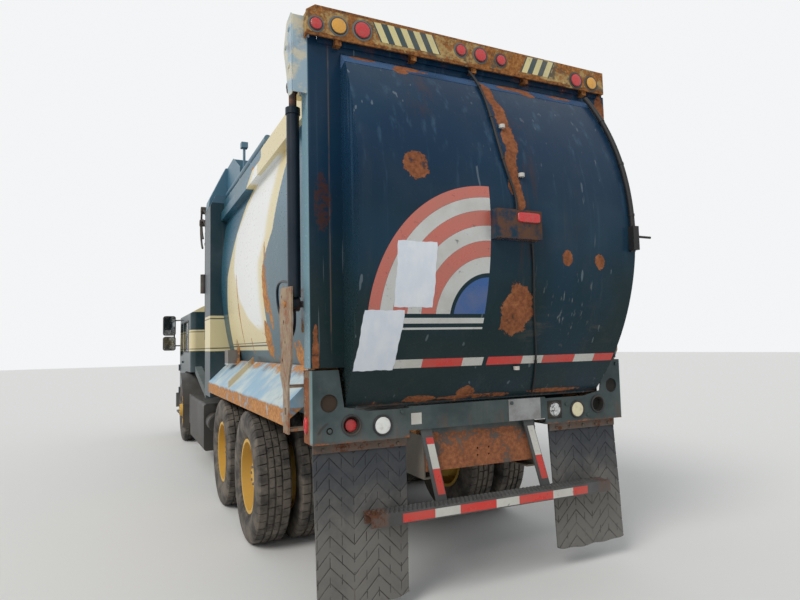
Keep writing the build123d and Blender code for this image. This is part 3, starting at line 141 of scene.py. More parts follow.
# One material or world being wired: its tree, its coordinates and the shapes that masks need
class Bench:
    def __init__(self, name, world=False):
        self.owner = (bpy.data.worlds if world else bpy.data.materials).new(name)
        self.owner.use_nodes = True
        self.tree = self.owner.node_tree
        self.tree.nodes.clear()
        if world:
            return
        self.place = self.node("ShaderNodeTexCoord", {}, {}, "Object")
        split = self.node("ShaderNodeSeparateXYZ", {}, {0: self.place}, None)
        self.x, self.y, self.z = (Wire(self, split.outputs[i]) for i in range(3))
        self.side = abs(self.y)

    # Adds any node: settings first, then the values or wires of its sockets
    def node(self, kind, settings, sockets, out=0):
        made = self.tree.nodes.new(kind)
        for key, value in settings.items():
            if key == "stops":
                self.setStops(made.color_ramp, value)
            else:
                setattr(made, key, value)
        for key, value in sockets.items():
            if isinstance(value, Wire):
                self.tree.links.new(value.socket, made.inputs[key])
            elif isinstance(value, tuple) and len(value) == 3 and made.inputs[key].type == "RGBA":
                made.inputs[key].default_value = (*value, 1.0)
            else:
                made.inputs[key].default_value = value
        return made if out is None else Wire(self, made.outputs[out])

    def setStops(self, ramp, stops):
        while len(ramp.elements) < len(stops):
            ramp.elements.new(1.0)
        for element, (at, colour) in zip(ramp.elements, stops):
            element.position = at
            element.color = (*colour, 1.0)

    def noise(self, scale, detail=4.0, rough=0.55, stretch=None, warp=0.0, seed=0.0):
        sockets = {"Vector": self.place, "Scale": scale, "Detail": detail, "Roughness": rough,
                   "Distortion": warp, "W": seed}
        if stretch:
            ends = {0: self.place, 1: stretch}
            sockets["Vector"] = self.node("ShaderNodeVectorMath", {"operation": "MULTIPLY"}, ends)
        return self.node("ShaderNodeTexNoise", {"noise_dimensions": "4D"}, sockets)

    def cells(self, scale, feature="F1"):
        return self.node("ShaderNodeTexVoronoi", {"feature": feature}, {"Vector": self.place, "Scale": scale})

    def mix(self, mask, first, second):
        return self.node("ShaderNodeMix", {"data_type": "RGBA"}, {0: mask, 6: first, 7: second}, 2)

    def bump(self, height, depth, strength=1.0):
        return self.node("ShaderNodeBump", {}, {"Height": height, "Distance": depth, "Strength": strength})

    # Oval spot with a middle and half sizes, across and up; noise makes its edge ragged
    def spot(self, across, up, middle, half, ragged):
        reach = (across - middle[0]) ** 2.0 / half[0] ** 2 + (up - middle[1]) ** 2.0 / half[1] ** 2
        return (reach ** 0.5 + (ragged - 0.5) * 1.7).ramp(1.05, 0.95)

    # Raises a wish for rust to the strongest of many spots: across, up, half width, half height, strength
    def spots(self, wish, across, scars, ragged):
        for place, up, wide, high, strength in scars:
            wish = wish.most(self.spot(across, self.z, (place, up), (wide, high), ragged) * strength)
        return wish

    # Ends the material on a Principled shader
    def finish(self, constants, **wires):
        wires = {key.replace("_", " "): value for key, value in wires.items()}
        shader = self.node("ShaderNodeBsdfPrincipled", {}, {**constants, **wires})
        self.node("ShaderNodeOutputMaterial", {}, {0: shader}, None)
        return self.owner


rustDark = (0.045, 0.018, 0.01)
rustRed = (0.15, 0.052, 0.022)
rustOrange = (0.33, 0.135, 0.048)
rustPale = (0.47, 0.25, 0.11)
dustTan = (0.23, 0.185, 0.135)
tealDeep = (0.01, 0.036, 0.048)
tealSide = (0.018, 0.08, 0.11)
creamPaint = (0.7, 0.6, 0.345)
whitePaint = (0.79, 0.8, 0.79)
brownDark = (0.022, 0.012, 0.008)
brownRust = (0.08, 0.032, 0.016)
sunRust = (0.56, 0.27, 0.09)
sandRust = (0.64, 0.43, 0.22)
rustStops = {
    "middle": [(0.3, brownRust), (0.46, (0.2, 0.072, 0.034)), (0.6, (0.33, 0.125, 0.055)),
               (0.76, rustPale)],
    "plain": [(0.3, rustDark), (0.47, rustRed), (0.6, rustOrange), (0.74, rustPale)],
    "brown": [(0.34, brownDark), (0.5, brownRust), (0.62, rustRed), (0.78, rustOrange)],
    "bar": [(0.32, brownDark), (0.44, (0.13, 0.05, 0.02)), (0.56, (0.34, 0.14, 0.04)),
            (0.7, (0.52, 0.3, 0.11))],
    "bright": [(0.3, rustRed), (0.44, rustOrange), (0.58, sunRust), (0.74, sandRust)],
}

# What all the painted steel shares: the scales of its noise, where rust and the stain round it begin and end,
# the colour of chalked paint, and the rust's relief in metres
wear = {"broad": 0.9, "patch": 5.5, "fine": 38.0, "grit": 260.0, "runs": 7.0, "rust": (0.735, 0.765),
        "halo": (0.62, 0.75), "chalked": (0.46, 0.5, 0.5), "relief": 0.0022}


# Weathered enamel. The colour is a wire or a tuple; rust is a wire from 0 to 1 of where rust may break out,
# and spread is how much of the surface it takes on its own.
def weathered(b, colour, rust=None, spread=0.0, dust=0.25, gloss=0.28, chalk=0.25, streaks=0.35, seed=0.0,
              kind="plain"):
    broad = b.noise(wear["broad"], 5.0, 0.6, seed=seed)
    patch = b.noise(wear["patch"], 9.0, 0.68, warp=0.4, seed=seed + 3.0)
    fine = b.noise(wear["fine"], 6.0, 0.65, seed=seed + 7.0)
    grit = b.noise(wear["grit"], 3.0, 0.6)
    runs = b.noise(wear["runs"], 5.0, 0.6, stretch=(1.0, 1.0, 0.06), seed=seed + 11.0)
    rustWish = patch * 0.72 + fine * 0.28 + spread
    if rust is not None:
        rustWish = rustWish + rust
    rustMask = rustWish.ramp(*wear["rust"])
    halo = rustWish.ramp(*wear["halo"])
    runMask = (runs + halo * 0.1).ramp(0.56, 0.8) * streaks
    cloud = b.noise(2.2, 6.0, 0.65, seed=seed + 19.0).ramp(0.45, 0.8)
    lowDust = b.z.ramp(2.4, 0.3) * dust + cloud * dust * 0.8
    shade = b.mix(broad.ramp(0.4, 0.72) * chalk, colour, wear["chalked"])
    shade = b.mix(runMask, shade, dustTan)
    shade = b.mix(halo * 0.45, shade, rustRed)
    shade = b.mix(lowDust.least(0.85), shade, dustTan)
    rusty = b.node("ShaderNodeValToRGB", {"stops": rustStops[kind]}, {0: fine * 0.6 + patch * 0.4})
    roughness = (fine * 0.18 + gloss + runMask * 0.3 + lowDust * 0.5).least(0.9)
    rough = roughness * (1.0 - rustMask) + rustMask * 0.86
    coarse = rustMask * (fine * 1.3 + grit * 0.4) + halo * 0.25 + grit * 0.03 + broad * 0.4
    return b.mix(rustMask, shade, rusty), rough, b.bump(coarse, wear["relief"], 0.55)


def enamel(name, colour, rust=None, shine=0.4, **words):
    b = Bench(name)
    shade = colour(b) if callable(colour) else colour
    final, rough, normal = weathered(b, shade, rust(b) if rust else None, **words)
    return b.finish({"Specular IOR Level": shine}, Base_Color=final, Roughness=rough, Normal=normal)


# The body's side: teal, with a white sweep that fades to cream behind and falls from the top rear to the low
# front, over a cream band. Each edge of the sweep is a curve through (height, distance forward of the rear).
sweepReach = 4.0
sweepEdges = {
    "rear": [(1.5, 1.83), (1.76, 1.817), (1.96, 1.813), (2.21, 1.745), (2.33, 1.688), (2.515, 1.376),
             (2.8, 1.202), (3.06, 1.022), (3.3, 0.868)],
    "front": [(1.5, 3.7), (2.02, 3.655), (2.386, 3.531), (2.775, 3.06), (3.013, 2.684), (3.135, 2.366),
              (3.31, 1.827)],
    "white": [(1.7, 2.05), (1.747, 2.244), (1.866, 2.582), (2.068, 2.902), (2.407, 3.134), (2.775, 3.04),
              (3.3, 1.81)],
}


# A wire's value looked up on a curve through (height, place) points
def follow(b, points):
    low, high = points[0][0], points[-1][0]
    curve = b.node("ShaderNodeFloatCurve", {}, {"Value": (b.z - low) / (high - low)}, None)
    line = curve.mapping.curves[0]
    while len(line.points) < len(points):
        line.points.new(0.5, 0.5)
    for point, (up, along) in zip(line.points, points):
        point.location = ((up - low) / (high - low), along / sweepReach)
        point.handle_type = "VECTOR"
    curve.mapping.update()
    return Wire(b, curve.outputs[0]) * sweepReach


# Faces half a wall inside the body: the side's arc by its middle and radius, the roof and its crown, the lean
# of the lower wall, and the floor
bodyInside = {"arcMiddle": (-2.566, 2.408), "arc": 3.613, "roof": 3.33, "crown": 0.05, "lean": 0.267,
              "wall": 1.811, "floor": 1.1}


# 1 on the body's inner faces
def insideBody(b):
    s = bodyInside
    across, up = s["arcMiddle"]
    inArc = (((b.side - across) ** 2.0 + (b.z - up) ** 2.0) ** 0.5).below(s["arc"])
    underRoof = (s["roof"] - s["crown"] * b.side * b.side - b.z).above(0.0)
    return inArc * underRoof * (b.side + b.z * s["lean"]).below(s["wall"]) * b.z.above(s["floor"])


def sideColour(b):
    wander = (b.noise(6.0, 3.0) - 0.5) * 0.012
    teeth = (b.z * 26.0).wrap(1.0) * 0.014
    along = b.x - rearX + wander
    rearEdge = follow(b, sweepEdges["rear"])
    frontEdge = follow(b, sweepEdges["front"])
    whiteFront = follow(b, sweepEdges["white"])
    behind = along - rearEdge + teeth * b.z.ramp(2.3, 2.4)
    onCream = behind.ramp(-0.003, 0.003) * (frontEdge - along).ramp(-0.006, 0.006) * b.z.ramp(1.545, 1.553)
    edge = b.z.ramp(1.9, 2.8) * 0.16
    onWhite = onCream * (behind - edge).ramp(0.05, 0.26) * (whiteFront - along).ramp(-0.05, 0.07)
    onWhite = onWhite * b.z.ramp(1.7, 1.8)
    # Painted sky reflection: patchy lighter blue that grows towards the top of the side
    sky = b.noise(0.7, 2.0, 0.5, seed=3.0).ramp(0.4, 0.62)
    shade = b.mix((sky * 0.4 + 0.1) * b.z.ramp(1.7, 2.6), tealSide, (0.06, 0.19, 0.31))
    shade = b.mix(onCream, shade, creamPaint)
    shade = b.mix(onWhite, shade, whitePaint)
    lines = b.z.band(1.592, 0.007, 0.002) + b.z.band(1.618, 0.004, 0.002)
    shade = b.mix(lines * onCream, shade, (0.03, 0.04, 0.04))
    rail = b.z.ramp(3.135, 3.145).most(b.z.above(2.95) * b.side.above(1.03)) * along.below(1.92)
    shade = b.mix(rail, shade, creamPaint)
    scraped = b.noise(9.0, 5.0, 0.6, stretch=(0.12, 1.0, 1.0), seed=61.0).ramp(0.4, 0.66)
    bare = b.mix(scraped, (0.05, 0.04, 0.034), (0.13, 0.118, 0.105))
    return b.mix(insideBody(b), shade, bare)


# Rust on the side and on the tailgate: along or across, up, half width, half height, strength
sideScars = [
    (1.72, 2.05, 0.085, 0.22, 0.3), (1.66, 2.28, 0.035, 0.16, 0.28), (1.62, 1.86, 0.05, 0.14, 0.27),
    (1.86, 1.64, 0.12, 0.17, 0.31), (1.38, 1.55, 0.1, 0.12, 0.31), (0.95, 1.52, 0.13, 0.1, 0.3),
    (0.62, 1.6, 0.1, 0.2, 0.3), (1.1, 1.9, 0.05, 0.16, 0.26), (2.99, 1.95, 0.02, 0.4, 0.3),
    (2.6, 1.6, 0.02, 0.09, 0.27), (3.42, 1.56, 0.09, 0.11, 0.29), (2.3, 3.26, 0.06, 0.03, 0.28),
    (2.05, 3.24, 0.05, 0.03, 0.28),
]
gateScars = [
    (0.638, 2.588, 0.085, 0.085, 0.34), (-0.011, 3.217, 0.04, 0.13, 0.34),
    (-0.037, 3.028, 0.046, 0.13, 0.34), (-0.048, 2.842, 0.05, 0.13, 0.34),
    (-0.026, 2.665, 0.046, 0.11, 0.34), (-0.03, 2.534, 0.046, 0.09, 0.34),
    (-0.056, 2.44, 0.04, 0.08, 0.33), (-0.067, 1.77, 0.12, 0.155, 0.34),
    (-0.422, 2.099, 0.042, 0.045, 0.32), (-0.689, 2.084, 0.045, 0.048, 0.33),
    (0.156, 1.262, 0.065, 0.04, 0.32), (0.47, 1.235, 0.11, 0.022, 0.3),
    (0.52, 3.315, 0.12, 0.03, 0.32), (0.6, 3.27, 0.05, 0.035, 0.32),
    (-0.3, 3.32, 0.15, 0.028, 0.32), (-0.38, 3.275, 0.055, 0.035, 0.32),
    (-0.7, 3.325, 0.11, 0.022, 0.31), (0.82, 3.335, 0.08, 0.02, 0.31),
    (1.13, 1.5, 0.02, 0.2, 0.3), (-1.12, 3.25, 0.05, 0.18, 0.34),
    (0.06, 1.232, 0.3, 0.014, 0.3), (-0.55, 1.24, 0.24, 0.014, 0.3),
]


def sideRust(b):
    along = b.x - rearX
    ragged = b.noise(9.0, 6.0, 0.7)
    low = b.z.ramp(1.62, 1.44) * 0.15 * along.ramp(3.8, 2.2)
    wish = b.spots(low, along, sideScars, ragged)
    post = along.ramp(0.3, 0.27) * (b.z.ramp(2.15, 1.95) * 0.2 + 0.05)
    inside = insideBody(b)
    return (wish + post).least(0.32) * (1.0 - inside) + inside * 0.13


# Cream band on teal with dark pinstripes, as on the front frame and the cab
def bandColour(b, low, high, roof=9.0):
    onBand = b.z.band((low + high) / 2, (high - low) / 2, 0.003)
    shade = b.mix(onBand.most(b.z.ramp(roof - 0.004, roof + 0.004)), tealDeep, creamPaint)
    lines = b.z.band(low + 0.035, 0.006, 0.002) + b.z.band(high - 0.035, 0.006, 0.002)
    return b.mix(lines, shade, (0.03, 0.04, 0.04))


def gateRust(b):
    edges = b.z.ramp(1.275, 1.215) * 0.15 + b.z.ramp(3.33, 3.41) * 0.12
    return b.spots(edges, b.y, gateScars, b.noise(11.0, 8.0, 0.72))


# Painted sky reflection: blue above, darker and greenish below; upright wipe marks, paler blue up high,
# specks, sandy scuffs low on the right
def gateColour(b):
    broad = b.noise(1.1, 3.0, 0.5, seed=8.0)
    wipe = b.noise(17.0, 4.0, 0.6, stretch=(1.0, 1.0, 0.025), seed=4.0)
    # Painted sky reflection: bluer and lighter towards the top, darker and greenish towards the bottom
    shade = b.mix(b.z.ramp(2.9, 1.7), (0.0062, 0.029, 0.068), (0.009, 0.026, 0.03))
    shade = b.mix(broad.ramp(0.42, 0.68) * 0.55, shade, (0.011, 0.046, 0.09))
    # Wipe marks, paler blue towards the top, where they carry the painted sky reflection
    shade = b.mix(wipe.ramp(0.54, 0.7) * b.z.ramp(1.9, 2.8) * 0.5, shade, (0.045, 0.1, 0.165))
    # Painted sky reflection on the ledge over the bulge, pale blue in patches, and a brown seam and stain on
    # the left post
    onLedge = (rearX - 0.004 - b.x).ramp(0.0, 0.004) * b.z.ramp(3.252, 3.262) * (1.0 - b.z.ramp(3.345, 3.355))
    shade = b.mix(onLedge * broad.ramp(0.25, 0.55) * 0.85, shade, (0.08, 0.15, 0.29))
    flat = (b.x - rearX + 0.004).ramp(0.0, 0.004)
    seam = b.y.band(1.035, 0.004, 0.003) * b.noise(9.0, 3.0, stretch=(1.0, 1.0, 0.3)).ramp(0.35, 0.5) * flat
    shade = b.mix(seam * 0.7, shade, (0.15, 0.105, 0.085))
    stain = b.spot(b.y, b.z, (1.08, 2.42), (0.055, 0.16), b.noise(6.0, 6.0, 0.7))
    stain = stain * b.noise(30.0, 4.0, 0.6).ramp(0.35, 0.6)
    shade = b.mix(stain * flat * 0.8, shade, (0.075, 0.028, 0.02))
    # Painted light: the frame's outward side faces paler than its rear face; and the rust-brown box that
    # holds the square lamp
    shade = b.mix(b.side.ramp(1.16, 1.164), shade, (0.2, 0.33, 0.39))
    boxed = b.y.band(0.0, 0.165, 0.01) * b.z.band(2.27, 0.1, 0.008) * (rearX - 0.402 - b.x).ramp(0.0, 0.004)
    shade = b.mix(boxed * b.noise(13.0, 6.0, 0.65, seed=13.0).ramp(0.36, 0.56), shade, (0.105, 0.05, 0.03))
    scratch = b.noise(24.0, 2.0, 0.5, stretch=(1.0, 1.0, 0.035), warp=0.2).ramp(0.69, 0.705)
    shade = b.mix(scratch * broad * 0.6, shade, (0.26, 0.32, 0.35))
    speck = b.noise(150.0, 2.0, 0.5).ramp(0.755, 0.775) * b.noise(2.5, 3.0, seed=5.0).ramp(0.5, 0.62)
    shade = b.mix(speck * 0.7, shade, (0.36, 0.39, 0.4))
    drip = b.noise(30.0, 3.0, 0.6, stretch=(1.0, 1.0, 0.03), seed=2.0).ramp(0.6, 0.72)
    field = b.y.band(-0.4, 0.24, 0.12) * b.z.band(1.8, 0.2, 0.16)
    shade = b.mix(drip * field * 0.6, shade, (0.34, 0.35, 0.31))
    sand = b.noise(5.0, 6.0, 0.65, stretch=(1.0, 0.5, 2.2), seed=6.0).ramp(0.5, 0.7)
    low = b.y.band(-0.5, 0.36, 0.15) * b.z.band(1.66, 0.1, 0.1)
    shade = b.mix(sand * low * 0.45, shade, (0.15, 0.115, 0.075))
    # Brown wash below the rust on the ledge and the long strip
    wash = b.noise(14.0, 5.0, 0.6, stretch=(1.0, 1.0, 0.08), seed=9.0).ramp(0.45, 0.66)
    under = b.y.band(0.55, 0.09, 0.06) * b.z.band(3.1, 0.16, 0.12)
    under = under + b.y.band(-0.1, 0.1, 0.05) * b.z.band(2.55, 0.55, 0.25)
    return b.mix(wash * under.least(1.0) * 0.5, shade, (0.07, 0.034, 0.02))


# What is left of cream and grey-green paint between the bar's rust
def barColour(b):
    cloud = b.noise(13.0, 6.0, 0.65, seed=45.0)
    shade = b.mix(cloud.ramp(0.4, 0.5), (0.11, 0.105, 0.075), (0.52, 0.37, 0.15))
    return b.mix(cloud.ramp(0.56, 0.64), shade, (0.4, 0.19, 0.06))


# Grey-teal with chalk, brown seepage under the lamps' holes and a dark scrape on the left
def panelColour(b):
    cloud = b.noise(4.0, 6.0, 0.65, seed=41.0)
    shade = b.mix(cloud.ramp(0.38, 0.66), (0.014, 0.036, 0.042), (0.046, 0.072, 0.078))
    seep = b.noise(13.0, 5.0, 0.6, stretch=(1.0, 1.0, 0.12), seed=43.0).ramp(0.5, 0.68)
    shade = b.mix(seep * b.z.ramp(1.16, 1.08) * 0.65, shade, (0.085, 0.052, 0.034))
    arc = ((b.y - 1.02) ** 2.0 + (b.z - 1.02) ** 2.0) ** 0.5
    scrape = arc.band(0.12, 0.007, 0.003) * b.z.ramp(1.06, 1.08) * b.y.ramp(1.06, 1.08)
    shade = b.mix(scrape, shade, (0.012, 0.013, 0.015))
    ahead = b.mix((b.x - rearX).ramp(0.016, 0.02), (0.15, 0.24, 0.25), (0.3, 0.22, 0.13))
    return b.mix(b.side.ramp(1.16, 1.163), shade, ahead)


# Pale blue shelf with a cream stiffener and a grey-brown box
def shelfColour(b):
    along = b.x - rearX
    cloud = b.noise(3.0, 5.0, 0.6, seed=51.0)
    shade = b.mix(cloud.ramp(0.4, 0.62), (0.25, 0.43, 0.58), (0.52, 0.6, 0.6))
    shade = b.mix(along.band(2.597, 0.012, 0.002), shade, (0.6, 0.5, 0.32))
    boxed = along.band(3.45, 0.115, 0.004) * b.z.ramp(1.405, 1.415) * b.y.above(0.95)
    return b.mix(boxed, shade, (0.11, 0.085, 0.068))


# Pale blue sheet worn to cream and bare spots
def cheekColour(b):
    cloud = b.noise(9.0, 6.0, 0.65, seed=71.0)
    return b.mix(cloud.ramp(0.44, 0.58), (0.3, 0.43, 0.52), (0.6, 0.56, 0.43))


# Cream band with pinstripes, and a painted highlight: the frame's top above 3.33 m lighter blue, as a lit
# sloping face
def frameColour(b):
    return b.mix(b.z.ramp(3.325, 3.332), bandColour(b, 1.545, 1.965), (0.06, 0.13, 0.19))


# Rust along the panels' lower edge and on their returns
def panelRust(b):
    onReturn = b.side.above(1.163) * (b.x - rearX).above(0.018)
    return b.z.ramp(1.045, 1.0) * 0.25 + onReturn * 0.26


# Painted steel: the material's name, its paint, and what differs from plain enamel
enamels = {
    "gate": ("gatePaint", gateColour, dict(rust=gateRust, dust=0.05, gloss=0.16, chalk=0.03, streaks=0.08,
                                           shine=0.12, kind="middle")),
    "panel": ("panelPaint", panelColour, dict(rust=panelRust, spread=0.03, dust=0.1, gloss=0.32, chalk=0.12,
                                              shine=0.3, kind="middle")),
    "side": ("sidePaint", sideColour, dict(rust=sideRust, dust=0.05, gloss=0.2, chalk=0.04, streaks=0.16,
                                           shine=0.3, kind="bright")),
    "frontFrame": ("frontFramePaint", frameColour, dict(spread=0.02, dust=0.08, gloss=0.25, chalk=0.08,
                                                        shine=0.3)),
    "cab": ("cabPaint", lambda b: bandColour(b, 1.545, 1.9, 2.2),
            dict(spread=-0.02, dust=0.12, gloss=0.2, chalk=0.08, shine=0.3)),
    "hood": ("hoodPaint", (0.055, 0.15, 0.22), dict(spread=0.06, dust=0.05, gloss=0.3, chalk=0.2)),
    "shelf": ("shelfPaint", shelfColour, dict(
        rust=lambda b: b.z.ramp(1.2, 1.17) * 0.22 + b.side.ramp(1.07, 0.97) * 0.165,
        spread=0.075, dust=0.08, gloss=0.35, seed=2.0, kind="bright")),
    "bracket": ("bracketSteel", (0.34, 0.24, 0.15), dict(spread=0.19, dust=0.15, gloss=0.6, seed=34.0,
                                                         kind="middle")),
    "cheek": ("cheekPaint", cheekColour, dict(spread=0.085, dust=0.05, gloss=0.35, seed=73.0, kind="middle")),
    "bar": ("barPaint", barColour, dict(
        rust=lambda b: b.z.ramp(3.572, 3.59) * 0.12 + b.z.ramp(3.44, 3.425) * 0.1,
        spread=0.245, dust=0.0, gloss=0.5, streaks=0.0, chalk=0.0, seed=5.0, kind="bar", shine=0.2)),
    "hopper": ("hopperPaint", (0.024, 0.062, 0.07), dict(spread=0.05, dust=0.25, gloss=0.4)),
    "chassis": ("chassisPaint", (0.026, 0.026, 0.028), dict(spread=0.08, dust=0.45, gloss=0.5, seed=9.0)),
    "rusty": ("rustySteel", (0.05, 0.03, 0.022), dict(spread=0.2, dust=0.22, gloss=0.6, seed=12.0,
                                                        kind="brown")),
    "black": ("blackPaint", (0.024, 0.026, 0.03), dict(spread=-0.02, dust=0.22, gloss=0.3, seed=14.0)),
    "barrel": ("barrelPaint", (0.008, 0.016, 0.028), dict(
        rust=lambda b: b.z.ramp(1.95, 1.7) * 0.12,
        spread=0.06, dust=0.0, gloss=0.24, chalk=0.06, streaks=0.12, shine=0.2, seed=15.0, kind="brown")),
    "stepSteel": ("stepSteel", (0.032, 0.038, 0.044), dict(
        rust=lambda b: b.y.ramp(0.68, 0.76) * 0.2 + b.y.ramp(-0.8, -0.88) * 0.2,
        spread=0.05, dust=0.12, gloss=0.5, seed=16.0, kind="brown")),
    "rim": ("rimPaint", (0.74, 0.42, 0.03), dict(spread=0.02, dust=0.24, gloss=0.42, chalk=0.08, seed=18.0)),
    "cast": ("castIron", (0.045, 0.038, 0.034), dict(spread=0.1, dust=0.5, gloss=0.6, seed=21.0)),
    "tank": ("tankPaint", (0.018, 0.019, 0.021), dict(spread=0.02, dust=0.12, gloss=0.4, seed=24.0)),
    "creamBar": ("creamBar", creamPaint, dict(spread=0.05, dust=0.2, gloss=0.4, seed=27.0)),
    "bezel": ("bezelGrey", (0.075, 0.07, 0.06), dict(spread=0.1, dust=0.0, gloss=0.5, seed=47.0,
                                                       kind="brown")),
    "nut": ("nutSteel", (0.11, 0.09, 0.07), dict(spread=0.12, dust=0.5, gloss=0.5, seed=31.0)),
}
lensColours = {
    "red": ("redLens", (0.52, 0.012, 0.016)), "amber": ("amberLens", (0.7, 0.33, 0.03)),
    "white": ("whiteLens", (0.72, 0.73, 0.7)), "cream": ("creamLens", (0.7, 0.62, 0.4)),
    "headlamp": ("headlampGlass", (0.46, 0.48, 0.48)),
}
# Name, colour, roughness, and dirt where it isn't the usual
plasticFinishes = {
    "plastic": ("mirrorPlastic", (0.022, 0.022, 0.024), 0.42),
    "interior": ("cabPlastic", (0.075, 0.075, 0.08), 0.55),
    "hose": ("hoseRubber", (0.007, 0.007, 0.008), 0.6, 0.05),
    "rubber": ("lampRubber", (0.016, 0.016, 0.018), 0.55),
    "dark": ("darkHole", (0.01, 0.009, 0.008), 0.9),
    "brownHole": ("brownHole", (0.04, 0.024, 0.015), 0.9),
}
filmColours = {
    "tapeRed": (0.7, 0.03, 0.02), "tapeWhite": (0.66, 0.65, 0.6), "decalRed": (0.62, 0.16, 0.12),
    "decalBlue": (0.02, 0.11, 0.36), "decalWhite": (0.66, 0.67, 0.65), "stripeCream": (0.8, 0.7, 0.34),
    "stripeDark": (0.02, 0.055, 0.06),
}


def makeMaterials():
    m = {key: enamel(name, colour, **words) for key, (name, colour, words) in enamels.items()}
    m.update({key: lensPlastic(*words) for key, words in lensColours.items()})
    m.update({key: plainPlastic(*words) for key, words in plasticFinishes.items()})
    m.update({key: tapeFilm(key, colour) for key, colour in filmColours.items()})
    m["exhaust"] = exhaustSteel()
    m["chrome"] = chromeRod()
    m["tyre"] = tyreRubber()
    m["flap"] = flapRubber()
    m["glass"] = clearGlass()
    m["patch"] = paintPatch()
    m["mirrorGlass"] = mirrorFace()
    m["seat"] = seatCloth()
    m["broken"] = brokenCover()
    m["bareMetal"] = bareMetal()
    return m


def exhaustSteel():
    b = Bench("exhaustSteel")
    heat = b.noise(3.0, 5.0, 0.6)
    fine = b.noise(60.0, 5.0, 0.6)
    shade = b.mix(heat.ramp(0.4, 0.65), (0.26, 0.24, 0.21), (0.14, 0.085, 0.05))
    shade = b.mix(fine.ramp(0.55, 0.7) * 0.6, shade, rustRed)
    return b.finish({}, Base_Color=shade, Roughness=fine * 0.3 + 0.35, Metallic=heat.ramp(0.65, 0.4) * 0.8,
                    Normal=b.bump(fine, 0.0006, 0.4))


# Bright where it slides in the barrel; the part left outside and its eye are dark with rust
def chromeRod():
    b = Bench("chromeRod")
    smear = b.noise(20.0, 4.0, 0.6, stretch=(1.0, 1.0, 0.1))
    shade = b.mix(smear.ramp(0.5, 0.75) * 0.5, (0.6, 0.61, 0.62), (0.16, 0.12, 0.08))
    outside = b.z.ramp(3.035, 3.055)
    rusty = b.mix(b.noise(28.0, 6.0, 0.65).ramp(0.42, 0.66), (0.03, 0.022, 0.02), (0.16, 0.07, 0.034))
    return b.finish({}, Base_Color=b.mix(outside, shade, rusty), Metallic=1.0 - outside,
                    Roughness=smear * 0.25 + 0.1 + outside * 0.55)


def tyreRubber():
    b = Bench("tyreRubber")
    fine = b.noise(90.0, 5.0, 0.65)
    mud = b.noise(6.5, 7.0, 0.65)
    shade = b.mix(mud.ramp(0.36, 0.66) * 0.8, (0.03, 0.027, 0.025), (0.19, 0.16, 0.13))
    shade = b.mix(fine.ramp(0.5, 0.75) * 0.35, shade, (0.085, 0.07, 0.055))
    return b.finish({}, Base_Color=shade, Roughness=mud * 0.25 + 0.68, Normal=b.bump(fine, 0.0012, 0.5))


# Pattern of the flaps: a column's width, the chevrons' slope and pitch, the short grooves' pitch and lean
flapPattern = {"column": 0.15, "slope": 1.05, "pitch": 0.088, "short": 0.11, "shortLean": 0.02}


# Grooved rubber: dark above, paler with dried mud below and along its edges
def flapRubber():
    b = Bench("flapRubber")
    fine = b.noise(120.0, 5.0, 0.65)
    mud = b.noise(4.0, 7.0, 0.65)
    low = b.z.ramp(0.85, 0.3) * 0.3
    shade = b.mix((mud * 0.9 + low).ramp(0.34, 0.78) * 0.9, (0.055, 0.056, 0.06), (0.175, 0.166, 0.15))
    stain = b.noise(2.2, 4.0, 0.6, seed=6.0).ramp(0.55, 0.72) * 0.55
    shade = b.mix(stain, shade, (0.034, 0.035, 0.04))
    shade = b.mix(b.z.ramp(0.62, 0.88) * 0.6, shade, (0.03, 0.038, 0.05))
    # The same chevrons and short upright grooves as in the mesh, darkened in patches: painted shade in the
    # grooves
    p = flapPattern
    leaning = abs((b.side / p["column"]).wrap(2.0) - 1.0) * p["column"]
    chevron = abs((b.z + leaning * p["slope"]).wrap(p["pitch"]) - p["pitch"] / 2).ramp(0.0044, 0.0024)
    beside = abs((b.side / (p["column"] / 2)).wrap(1.0) - 0.5) * (p["column"] / 2)
    inRow = (b.z + b.side * p["shortLean"]).wrap(p["short"]).below(p["short"] / 2)
    upright = beside.ramp(0.0345, 0.036) * inRow
    kept = b.noise(7.0, 5.0, 0.65, seed=49.0).ramp(0.38, 0.56)
    shade = b.mix(chevron.most(upright) * kept * 0.75, shade, (0.016, 0.017, 0.02))
    return b.finish({"Specular IOR Level": 0.3}, Base_Color=shade, Roughness=mud * 0.2 + 0.62,
                    Normal=b.bump(fine, 0.0008, 0.4))


def clearGlass():
    b = Bench("clearGlass")
    dirt = b.noise(3.5, 5.0, 0.6).ramp(0.45, 0.8)
    shade = b.mix(dirt * 0.6, (0.1, 0.13, 0.13), dustTan)
    return b.finish({"IOR": 1.45, "Specular IOR Level": 0.6}, Base_Color=shade, Roughness=dirt * 0.3 + 0.03,
                    Alpha=dirt * 0.3 + 0.38)


# Moulded lens: ribs catch the light, with a dull ring of dirt
def lensPlastic(name, colour):
    b = Bench(name)
    ribs = b.node("ShaderNodeTexWave", {"bands_direction": "Z"}, {"Vector": b.place, "Scale": 42.0})
    dirt = b.noise(30.0, 5.0, 0.6)
    shade = b.mix(dirt.ramp(0.45, 0.75) * 0.45, colour, (0.2, 0.14, 0.1))
    shade = b.mix(ribs * 0.25, shade, tuple(min(1.0, c * 1.5 + 0.05) for c in colour))
    return b.finish({"Coat Weight": 0.4, "IOR": 1.49}, Base_Color=shade, Roughness=dirt * 0.3 + 0.14,
                    Normal=b.bump(ribs, 0.0015, 0.5))


